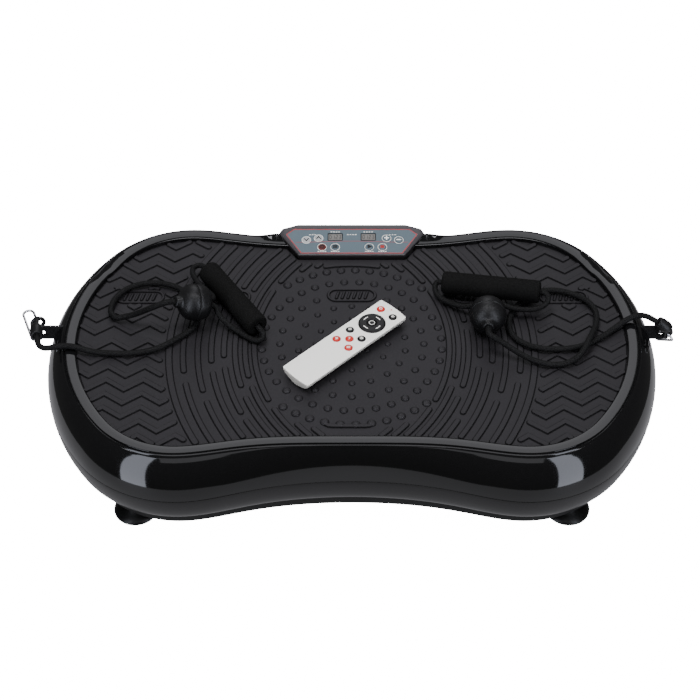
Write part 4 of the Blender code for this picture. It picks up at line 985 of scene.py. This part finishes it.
def clipped(points, allowed, step=1.5):
    """The runs of a line on which every point is allowed, its corners kept."""
    fine = []
    for a, b in zip(points, points[1:]):
        a, b = Vector(a), Vector(b)
        count = max(1, round((b - a).length / step))
        fine += [(a.lerp(b, i / count), i == 0) for i in range(count)]
    fine.append((Vector(points[-1]), True))
    runs, run = [], []
    for spot, corner in [*fine, (None, False)]:
        if spot is not None and allowed(spot):
            run.append((spot, corner))
            continue
        if len(run) > 4:
            kept = [p for i, (p, c) in enumerate(run) if c or i in (0, len(run) - 1)]
            for end, second in ((0, 1), (-1, -2)):
                if (kept[second] - kept[end]).length < SHORTEST_STRETCH and len(kept) > 2:
                    kept.pop(second)
            runs.append(kept)
        run = []
    return runs


def chevron_lines():
    """The zigzag ridges of the two outer lobes."""
    for row in range(16):
        y = CHEVRON_Y - CHEVRON_PITCH * row - (CHEVRON_GAP if row >= 8 else 0.0) + PATTERN_Y
        rises = (CHEVRON_RISE, 0.0) * 5
        for sign in (-1.0, 1.0):
            zigzag = [(sign * (CHEVRON_X + CHEVRON_STEP * k), y + rise) for k, rise in enumerate(rises)]

            def allowed(spot, sign=sign):
                reach = math.hypot(spot.x + sign * ARC_CENTRE_X, spot.y - PATTERN_Y)
                return reach > CHEVRON_INNER_RADIUS and on_free_mat(spot, 6.5)

            yield from clipped(zigzag, allowed)


def arc_lines():
    """The long curved ribs between the lobes and the middle, as (radius, line)."""
    for radius, spans in RIBS:
        for low, high in spans:
            for sign in (-1.0, 1.0):
                start = math.degrees(math.asin(low / radius))
                end = math.degrees(math.asin(high / radius))
                line = arc(ARC_CENTRE_X, 0.0, -radius, -start, -end, 48)
                line = [(-sign * x, y + PATTERN_Y) for x, y in line]
                for run in clipped(line, on_free_mat, 3.0):
                    yield radius, run


def add_ridge(shape, shade_bands, line, width, taper=0.3):
    """A raised line, and a dark band of painted shade round its foot."""
    add_prism(shape, stroke(line, width), MAT_ROOT, RIB_TOP, shrink=stroke(line, width - taper))
    # Painted shade: a near-black band a little wider than the line, just above the mat's face.
    add_prism(shade_bands, stroke(line, width + 2 * SHADE_BAND_WIDTH), MAT_ROOT, SHADE_BAND_TOP)


def pill_outline(x, y, grow):
    """A pill's outline, made larger all round, or smaller where grow is under zero."""
    width, height = (size + 2 * grow for size in PILL_SIZE)
    radius = height / 2
    right = arc(x + width / 2 - radius, y, radius, -90.0, 90.0, 10)
    return right + arc(x - width / 2 + radius, y, radius, 90.0, 270.0, 10)


def add_dome(shape, shade_bands, x, y, radius, height):
    """A round knob with a flat-topped profile, and a dark ring of painted shade round its foot."""
    profile = [(0.0, MAT_FACE + height)]
    for share in (0.35, 0.65, 0.82, 0.93, 1.0):
        profile.append((radius * share, MAT_FACE + height * (1.0 - share**6)))
    profile += [(radius, MAT_ROOT), (0.0, MAT_ROOT)]
    add_lathe(shape, profile, Matrix.Translation((x, y, 0.0)), 18)
    # Painted shade: a near-black ring round the knob's foot.
    add_prism(shade_bands, circle(x, y, radius + 0.45 * SHADE_BAND_WIDTH, 18), MAT_ROOT, SHADE_BAND_TOP)


def add_pill(shape, shade_bands, x, y):
    """A pill-shaped frame with six slanted bars in it, and a dark band of painted shade round the frame's
    foot.
    """
    add_band(shape, pill_outline(x, y, 0.0), pill_outline(x, y, -1.8), MAT_ROOT, RIB_TOP)
    # Painted shade: a near-black band under the frame, showing outside and inside it.
    wide, narrow = pill_outline(x, y, SHADE_BAND_WIDTH), pill_outline(x, y, -2.9)
    add_band(shade_bands, wide, narrow, MAT_ROOT, SHADE_BAND_TOP)
    for i in range(6):
        mark = x - 16.0 + 6.4 * i
        add_ridge(shape, shade_bands, [(mark - 1.2, y - 4.6), (mark + 1.2, y + 4.6)], 1.8)


def dome_spots():
    """(ring number, x, y) of the domes, in rings about the middle of the mat."""
    for k, count in enumerate(DOMES_IN_RING, 1):
        for i in range(count):
            angle = 2 * math.pi * (i + (0.5 if k % 2 else 0.0)) / count
            x, y = DOME_PITCH * k * math.cos(angle), DOME_PITCH * k * math.sin(angle)
            spot = (x, y + PATTERN_Y)
            if math.hypot(abs(x) + ARC_CENTRE_X, y) < DOME_REACH and on_free_mat(spot, 12.0):
                yield k, *spot


def make_mat():
    """The rubber mat: a base plate notched round the console, with raised ribs and domes, and dark bands of
    painted shade round them and along its edge.
    """
    outline = cut_notch([(point.x, point.y) for point, _normal in EDGE])
    shape = bmesh.new()
    # The near-black bands of painted shade round the raised lines, knobs and pills.
    shade_bands = bmesh.new()
    inset = [(x * 0.9985, y * 0.997) for x, y in outline]
    add_loft(shape, level_rings(((outline, 108.8), (outline, MAT_FACE - 0.5), (inset, MAT_FACE))))
    # A near-black band just inside the cover's lip: painted shade where the mat meets the rim.
    outer, inner = ([(x, y) for x, y, _z in casing_ring(out, out, 0.0)] for out in (-4.4, -5.5))
    add_band(shade_bands, outer, inner, MAT_ROOT, SHADE_BAND_TOP)
    for line in chevron_lines():
        add_ridge(shape, shade_bands, line, CHEVRON_WIDTH)
    for radius, line in arc_lines():
        add_ridge(shape, shade_bands, line, WIDE_RIB if radius == RIBS[0][0] else NARROW_RIB)
    for x, y in PILLS:
        add_pill(shape, shade_bands, x, y + PATTERN_Y)
    front = [(-27.0, -125.5), (-24.0, -127.3), (-18.0, -127.9), (0.0, -127.9), (14.0, -127.9), (18.0, -127.3)]
    add_ridge(shape, shade_bands, front, 4.0)
    back = [(x, 116.0 - 3.0 * (x / 30.0) ** 2) for x in range(-30, 31, 10)]
    add_ridge(shape, shade_bands, back, 3.4)
    for k, x, y in dome_spots():
        add_dome(shape, shade_bands, x, y, 2.1 + 0.4 * k, 1.3 + 0.1 * k)
    stand_in("standing_mat", "platform", shape, "mat_rubber", 30.0)
    # The dark bands are a piece of their own, in the painted shade look.
    piece("mat_painted_shade_bands", "platform", shade_bands, "mat_painted_shade", (), 30.0)


def cut_notch(outline):
    """The mat's outline with the console's place cut out of its back."""
    (front_x, front_y), (back_x, back_y) = NOTCH_CORNERS
    slope = (back_x - front_x) / (back_y - front_y)
    join_y = WAIST_HALF + 0.35
    join_x = front_x + (join_y - front_y) * slope
    notch = [(join_x, join_y), (front_x, front_y), (-front_x, front_y), (-join_x, join_y)]
    made = []
    for x, y in outline:
        if y <= 0 or abs(x) >= front_x + (y - front_y) * slope:
            made.append((x, y))
        elif notch[0] not in made:
            made += notch
    return made


make_mat()

# ---------------------------------------------------------------- console

POCKET_FLOOR = -1.75
PRINT_LOW, PRINT_HIGH = -0.1, 0.06
CAP_BOTTOM = -1.05
CONSOLE = Matrix.Translation((0.0, CONSOLE_Y, CONSOLE_Z)) @ Matrix.Rotation(CONSOLE_SLOPE, 4, "X")


def make_console_cover():
    """The hump that carries the panel: rounded block with a pocket in its top."""
    base = mirrored(CONSOLE_CORNERS)
    levels = ((-4.5, -50.0), (-1.2, -12.0), (-0.2, -3.0), (0.0, -1.6), (-0.45, -0.5), (-1.6, 0.0))
    shape = bmesh.new()
    rings = level_rings([(rounded(grown(base, grow), 3.0, 6), depth) for grow, depth in levels])
    rows = add_loft(shape, rings, caps=(True, False))
    pocket = rounded(grown(mirrored(PANEL_CORNERS), 0.3), 1.2, 6)
    add_wells(shape, rows[-1], [pocket], 0.0, POCKET_FLOOR)
    piece("console_cover", "platform", shape, "console_satin", (), 32.0, CONSOLE)


ICONS = {
    "up": [[(-0.5, -0.3), (0.0, 0.4), (0.5, -0.3)]],
    "down": [[(-0.5, 0.3), (0.0, -0.4), (0.5, 0.3)]],
    "plus": [[(-0.5, 0.0), (0.5, 0.0)], [(0.0, -0.5), (0.0, 0.5)]],
    "minus": [[(-0.5, 0.0), (0.5, 0.0)]],
    "power": [[(0.0, 0.1), (0.0, 0.62)], arc(0.0, 0.0, 0.48, 125.0, 415.0, 12)],
    "bars": [[(-0.5, y), (0.5, y)] for y in (-0.38, 0.0, 0.38)],
    "play": [[(-0.3, -0.45), (0.45, 0.0), (-0.3, 0.45), (-0.3, -0.35)], [(-0.15, 0.0), (0.15, 0.0)]],
    "stop": [[(-0.35, y), (0.35, y)] for y in (-0.3, -0.1, 0.1, 0.3)],
    "speaker": [
        [(-0.5, 0.15), (-0.2, 0.2), (0.1, 0.5), (0.1, -0.5), (-0.2, -0.2), (-0.5, -0.15)],
        [(0.3, 0.3), (0.6, -0.3)],
    ],
    "clock": [arc(0.0, 0.0, 0.5, 0.0, 350.0, 14), [(0.0, 0.3), (0.0, 0.0), (0.2, -0.1)]],
    "walk": [[(-0.2, -0.45), (0.25, 0.0), (-0.2, 0.45)]],
    "jog": [[(x - 0.2, -0.45), (x + 0.25, 0.0), (x - 0.2, 0.45)] for x in (-0.2, 0.25)],
    "run": [[(x - 0.2, -0.4), (x + 0.2, 0.0), (x - 0.2, 0.4)] for x in (-0.4, 0.0, 0.4)],
}


def add_icon(shape, icon, size, width, low, high, matrix=None):
    """An icon drawn in raised strokes."""
    for line in ICONS[icon]:
        points = [(x * size, y * size) for x, y in line]
        add_prism(shape, stroke(points, width, 3), low, high, matrix)


def make_key(name, matrix, profile, cap, drawn, mark):
    """A key's turned cap, and the mark drawn on it, both on the key's body."""
    shape = bmesh.new()
    add_lathe(shape, profile, Matrix(), 40)
    piece(name + "_cap", name + "_button", shape, cap, (name + "_key",), 40.0, matrix)
    piece(name + "_mark", name + "_button", drawn, mark, (), 30.0, matrix)


def console_print(name, colour, draw):
    """A printed layer on the console's panel."""
    shape = bmesh.new()
    draw(shape)
    piece(name, "platform", shape, colour, (), 30.0, CONSOLE)


def draw_red_lines(shape):
    """The panel's red frame, and the wave across it."""
    base = mirrored(PANEL_CORNERS)
    outer, inner = rounded(grown(base, -0.3), 1.0), rounded(grown(base, -1.2), 1.0)
    add_band(shape, outer, inner, PRINT_LOW, PRINT_HIGH)
    wave = [(x, 1.6 * math.cos(math.pi * x / 132.0) ** 2 - 0.8) for x in range(-64, 65, 4)]
    add_prism(shape, stroke(wave, 0.4, 2), PRINT_LOW, PRINT_HIGH)


def draw_white_marks(shape):
    """Plain bars for the panel's words: how many, from which x, how far apart and at which v."""
    words = [(4, x - 4.5, 3.0, 14.6) for x in (-DISPLAY_X, DISPLAY_X)]
    words += [(4, -4.5, 3.0, 10.6), (3, -48.0, 3.0, 10.4), (3, 44.0, 3.0, 10.4)]
    words += [(4, x - 3.9, 2.6, -14.4) for x in (-34.0, -19.0, 20.0, 35.0)]
    for count, start, pitch, v in words:
        for i in range(count):
            add_prism(shape, rectangle(1.9, 0.8, start + pitch * i, v), PRINT_LOW, PRINT_HIGH)


def draw_key_rings(shape):
    """A ring round each key."""
    for x, v, *_rest in CONSOLE_KEYS.values():
        outer, inner = circle(x, v, CONSOLE_KEY_RADIUS + 0.35), circle(x, v, CONSOLE_KEY_RADIUS - 0.15)
        add_band(shape, outer, inner, PRINT_LOW, PRINT_HIGH)


def draw_display_frames(shape):
    """The two displays' frames, with four figures in each."""
    wide, deep = DISPLAY_SIZE
    for x in (-DISPLAY_X, DISPLAY_X):
        outer = rounded(rectangle(wide + 1.6, deep + 1.6, x, DISPLAY_V), 1.0)
        inner = rounded(rectangle(wide - 0.2, deep - 0.2, x, DISPLAY_V), 0.6)
        add_band(shape, outer, inner, PRINT_LOW, 0.25)
        for i in range(4):
            add_digit(shape, x - 5.4 + 3.6 * i, DISPLAY_V, i)


# The seven segments of a figure, as (x, y, x, y), and those that each figure lights.
SEGMENTS = (
    (0, 2, 1, 2), (0, 0, 1, 0), (0, -2, 1, -2),
    (0, 0, 0, 2), (1, 0, 1, 2), (0, -2, 0, 0), (1, -2, 1, 0),
)
DIGITS = ((0, 2, 3, 4, 5, 6), (4, 6), (0, 1, 2, 4, 5), (0, 1, 2, 4, 6))


def add_digit(shape, x, v, digit):
    """A generic seven-segment figure."""
    for index in DIGITS[digit]:
        a, b, c, d = SEGMENTS[index]
        start = Vector((x + (a - 0.5) * 1.9, v + b * 1.25))
        end = Vector((x + (c - 0.5) * 1.9, v + d * 1.25))
        gap = (end - start).normalized() * 0.3
        add_prism(shape, stroke([start + gap, end - gap], 0.45, 2), -0.2, 0.02)


def make_console():
    """The cover, the panel's printed layers and its keys."""
    make_console_cover()
    console_print("panel_red_lines", "panel_red", draw_red_lines)
    console_print("panel_white_marks", "remote_white", draw_white_marks)
    console_print("panel_key_rings", "remote_white", draw_key_rings)
    console_print("panel_display_frames", "key_black", draw_display_frames)
    edge = CONSOLE_KEY_RADIUS - 0.45
    profile = [(0.0, 0.85), (edge * 0.6, 0.8), (edge - 0.7, 0.66), (edge - 0.25, 0.45)]
    profile += [(edge, 0.1), (edge, CAP_BOTTOM), (0.0, CAP_BOTTOM)]
    for name, (x, v, cap, mark, icon) in CONSOLE_KEYS.items():
        drawn = bmesh.new()
        add_icon(drawn, icon, CONSOLE_KEY_RADIUS * 0.92, 1.3, 0.6, 0.9)
        make_key(name, CONSOLE @ Matrix.Translation((x, v, 0.0)), profile, cap, drawn, mark)


make_console()

# ---------------------------------------------------------------- remote

REMOTE = Matrix.Translation((*REMOTE_CENTRE, MAT_TOP + REMOTE_GAP)) @ Matrix.Rotation(REMOTE_ANGLE, 4, "Z")


def remote_outline(inset=0.0, corner=2.4, bow=1.2):
    """Straight sides with rounded corners, and ends bowed by a shallow arc."""
    half_length, half_width = REMOTE_LENGTH / 2 - inset, REMOTE_WIDTH / 2 - inset
    corner = corner - inset * 0.5
    points = []
    for side, start in ((1, -90.0), (1, 0.0), (-1, 90.0), (-1, 180.0)):
        turn = 1 if start in (0.0, 90.0) else -1
        for i in range(8):
            angle = math.radians(start + 90.0 * i / 7)
            u = side * (half_length - bow - corner) + corner * math.cos(angle)
            v = turn * (half_width - corner) + corner * math.sin(angle)
            points.append((u, v))
        if start in (-90.0, 90.0):
            for share in (-0.6, -0.2, 0.2, 0.6):
                across = share * side * (half_width - corner)
                points.append((side * (half_length - bow * share * share), across))
    return points


def make_remote():
    """The remote's case: crisp top edge, straight sides, bulged belly and key wells."""
    shape = bmesh.new()
    levels = [(1.6, 0.0, 0.28), (1.1, 0.3, 0.4), (0.9, 1.0, 0.52), (0.7, 2.2, 0.68), (0.5, 3.8, 0.82)]
    levels += [(0.3, 5.6, 0.92), (0.15, 7.4, 0.975), (0.05, 9.0, 0.995), (0.0, 9.6, 1.0)]
    levels += [(0.0, REMOTE_HEIGHT - 0.5, 1.0), (0.15, REMOTE_HEIGHT - 0.15, 1.0), (0.5, REMOTE_HEIGHT, 1.0)]
    rings = [[Vector((u, v * squeeze, z)) for u, v in remote_outline(inset)] for inset, z, squeeze in levels]
    rows = add_loft(shape, rings, caps=(True, False))
    wells = [circle(u, v, REMOTE_KEY_RADIUS + KEY_GAP) for u, v, *_rest in REMOTE_KEYS.values()]
    wells.append(circle(NAV_U, 0.0, NAV_RADIUS + KEY_GAP, 56))
    add_wells(shape, rows[-1], wells, REMOTE_HEIGHT, REMOTE_HEIGHT - WELL_DEPTH)
    piece("fine_remote_shell", "remote", shape, "remote_white", ("remote_shell",), 35.0, REMOTE)
    led = bmesh.new()
    profile = [(0.0, 0.5), (0.6, 0.42), (0.9, 0.0), (0.9, -0.5), (0.0, -0.5)]
    add_lathe(led, profile, Matrix.Translation((70.0, 0.0, REMOTE_HEIGHT)), 20)
    piece("remote_led", "remote", led, "key_red", (), 40.0, REMOTE)
    for name, (u, v, cap, icon) in REMOTE_KEYS.items():
        make_remote_key(name, u, v, REMOTE_KEY_RADIUS, cap, icon)
    make_remote_key("remote_ok", NAV_U, 0.0, OK_RADIUS, "key_black", None)
    make_nav_ring()


def make_remote_key(name, u, v, radius, cap, icon):
    """A key of the remote. Its icon stands upright in the scene; without one it has a ring."""
    profile = [(0.0, 1.25), (radius * 0.5, 1.2), (radius * 0.8, 0.95), (radius - 0.25, 0.6)]
    profile += [(radius, 0.2), (radius, KEY_ROOT), (0.0, KEY_ROOT)]
    drawn = bmesh.new()
    if icon:
        add_icon(drawn, icon, radius * 0.72, 0.62, 0.9, 1.3, Matrix.Rotation(-REMOTE_ANGLE, 4, "Z"))
    else:
        add_band(drawn, circle(0, 0, 3.2), circle(0, 0, 2.6), 0.8, 1.2)
    make_key(name, REMOTE @ Matrix.Translation((u, v, REMOTE_HEIGHT)), profile, cap, drawn, "remote_white")


def make_nav_ring():
    """The rocking ring round the OK key, with an arc on each of its four sides."""
    matrix = REMOTE @ Matrix.Translation((NAV_U, 0.0, REMOTE_HEIGHT))
    shape = bmesh.new()
    inner = OK_RADIUS + KEY_GAP
    profile = [(inner, 0.4), (inner + 0.4, 0.75), (inner + 1.6, 0.9), (NAV_RADIUS - 3.0, 1.0)]
    profile += [(NAV_RADIUS - 1.0, 0.85), (NAV_RADIUS - 0.25, 0.5), (NAV_RADIUS, 0.1)]
    profile += [(NAV_RADIUS, KEY_ROOT), (inner, KEY_ROOT)]
    add_lathe(shape, profile, Matrix(), 64, True)
    piece("remote_nav_cap", "remote_nav_button", shape, "key_black", ("remote_nav_ring",), 40.0, matrix)
    marks = bmesh.new()
    for start in (0.0, 90.0, 180.0, 270.0):
        curve = arc(0.0, 0.0, 9.8, start - 17.0, start + 17.0, 8)
        add_prism(marks, stroke(curve, 0.9, 3), 0.7, 1.08)
    piece("remote_nav_marks", "remote_nav_button", marks, "remote_white", (), 30.0, matrix)


make_remote()

# ---------------------------------------------------------------- feet and floor

FOOT_X, FOOT_Y = 231.0, 147.0


def make_feet():
    """Four suction feet: a stem and a wide cup."""
    profile = [(0.0, 11.7), (9.4, 11.7), (10.2, 11.2), (10.8, 9.8), (12.6, 8.4), (17.0, 6.3)]
    profile += [(20.4, 4.4), (22.6, 2.9), (23.6, 1.8), (24.0, 0.9), (23.9, 0.0), (22.4, 0.0)]
    profile += [(19.0, 1.4), (12.0, 2.6), (0.0, 3.0)]
    for x, across in ((-FOOT_X, "left"), (FOOT_X, "right")):
        for y, along_y in ((-FOOT_Y, "front"), (FOOT_Y, "back")):
            shape = bmesh.new()
            add_lathe(shape, profile, Matrix.Translation((x, y, 0.0)), 56)
            stand_in(f"foot_{along_y}_{across}", "base", shape, "foot_rubber", 50.0)


make_feet()

low_outline = [(x * MM, y * MM) for x, y, _z in casing_ring(135.0, 226.0, 0.0)]
reflected_card("low_card", low_outline, (0.0, 0.0, -0.002), NEUTRAL, 0.6, (0.0, 0.0, -1.0))

floor_shape = bmesh.new()
bmesh.ops.create_grid(floor_shape, x_segments=2, y_segments=2, size=30.0)
floor = placed("floor", mesh_of("floor", floor_shape))
floor.data.materials.append(look("floor_white"))
glow(look("floor_white").node_tree.nodes["Principled BSDF"], WHITE, 16.0)
floor.visible_glossy = False
floor.visible_diffuse = False
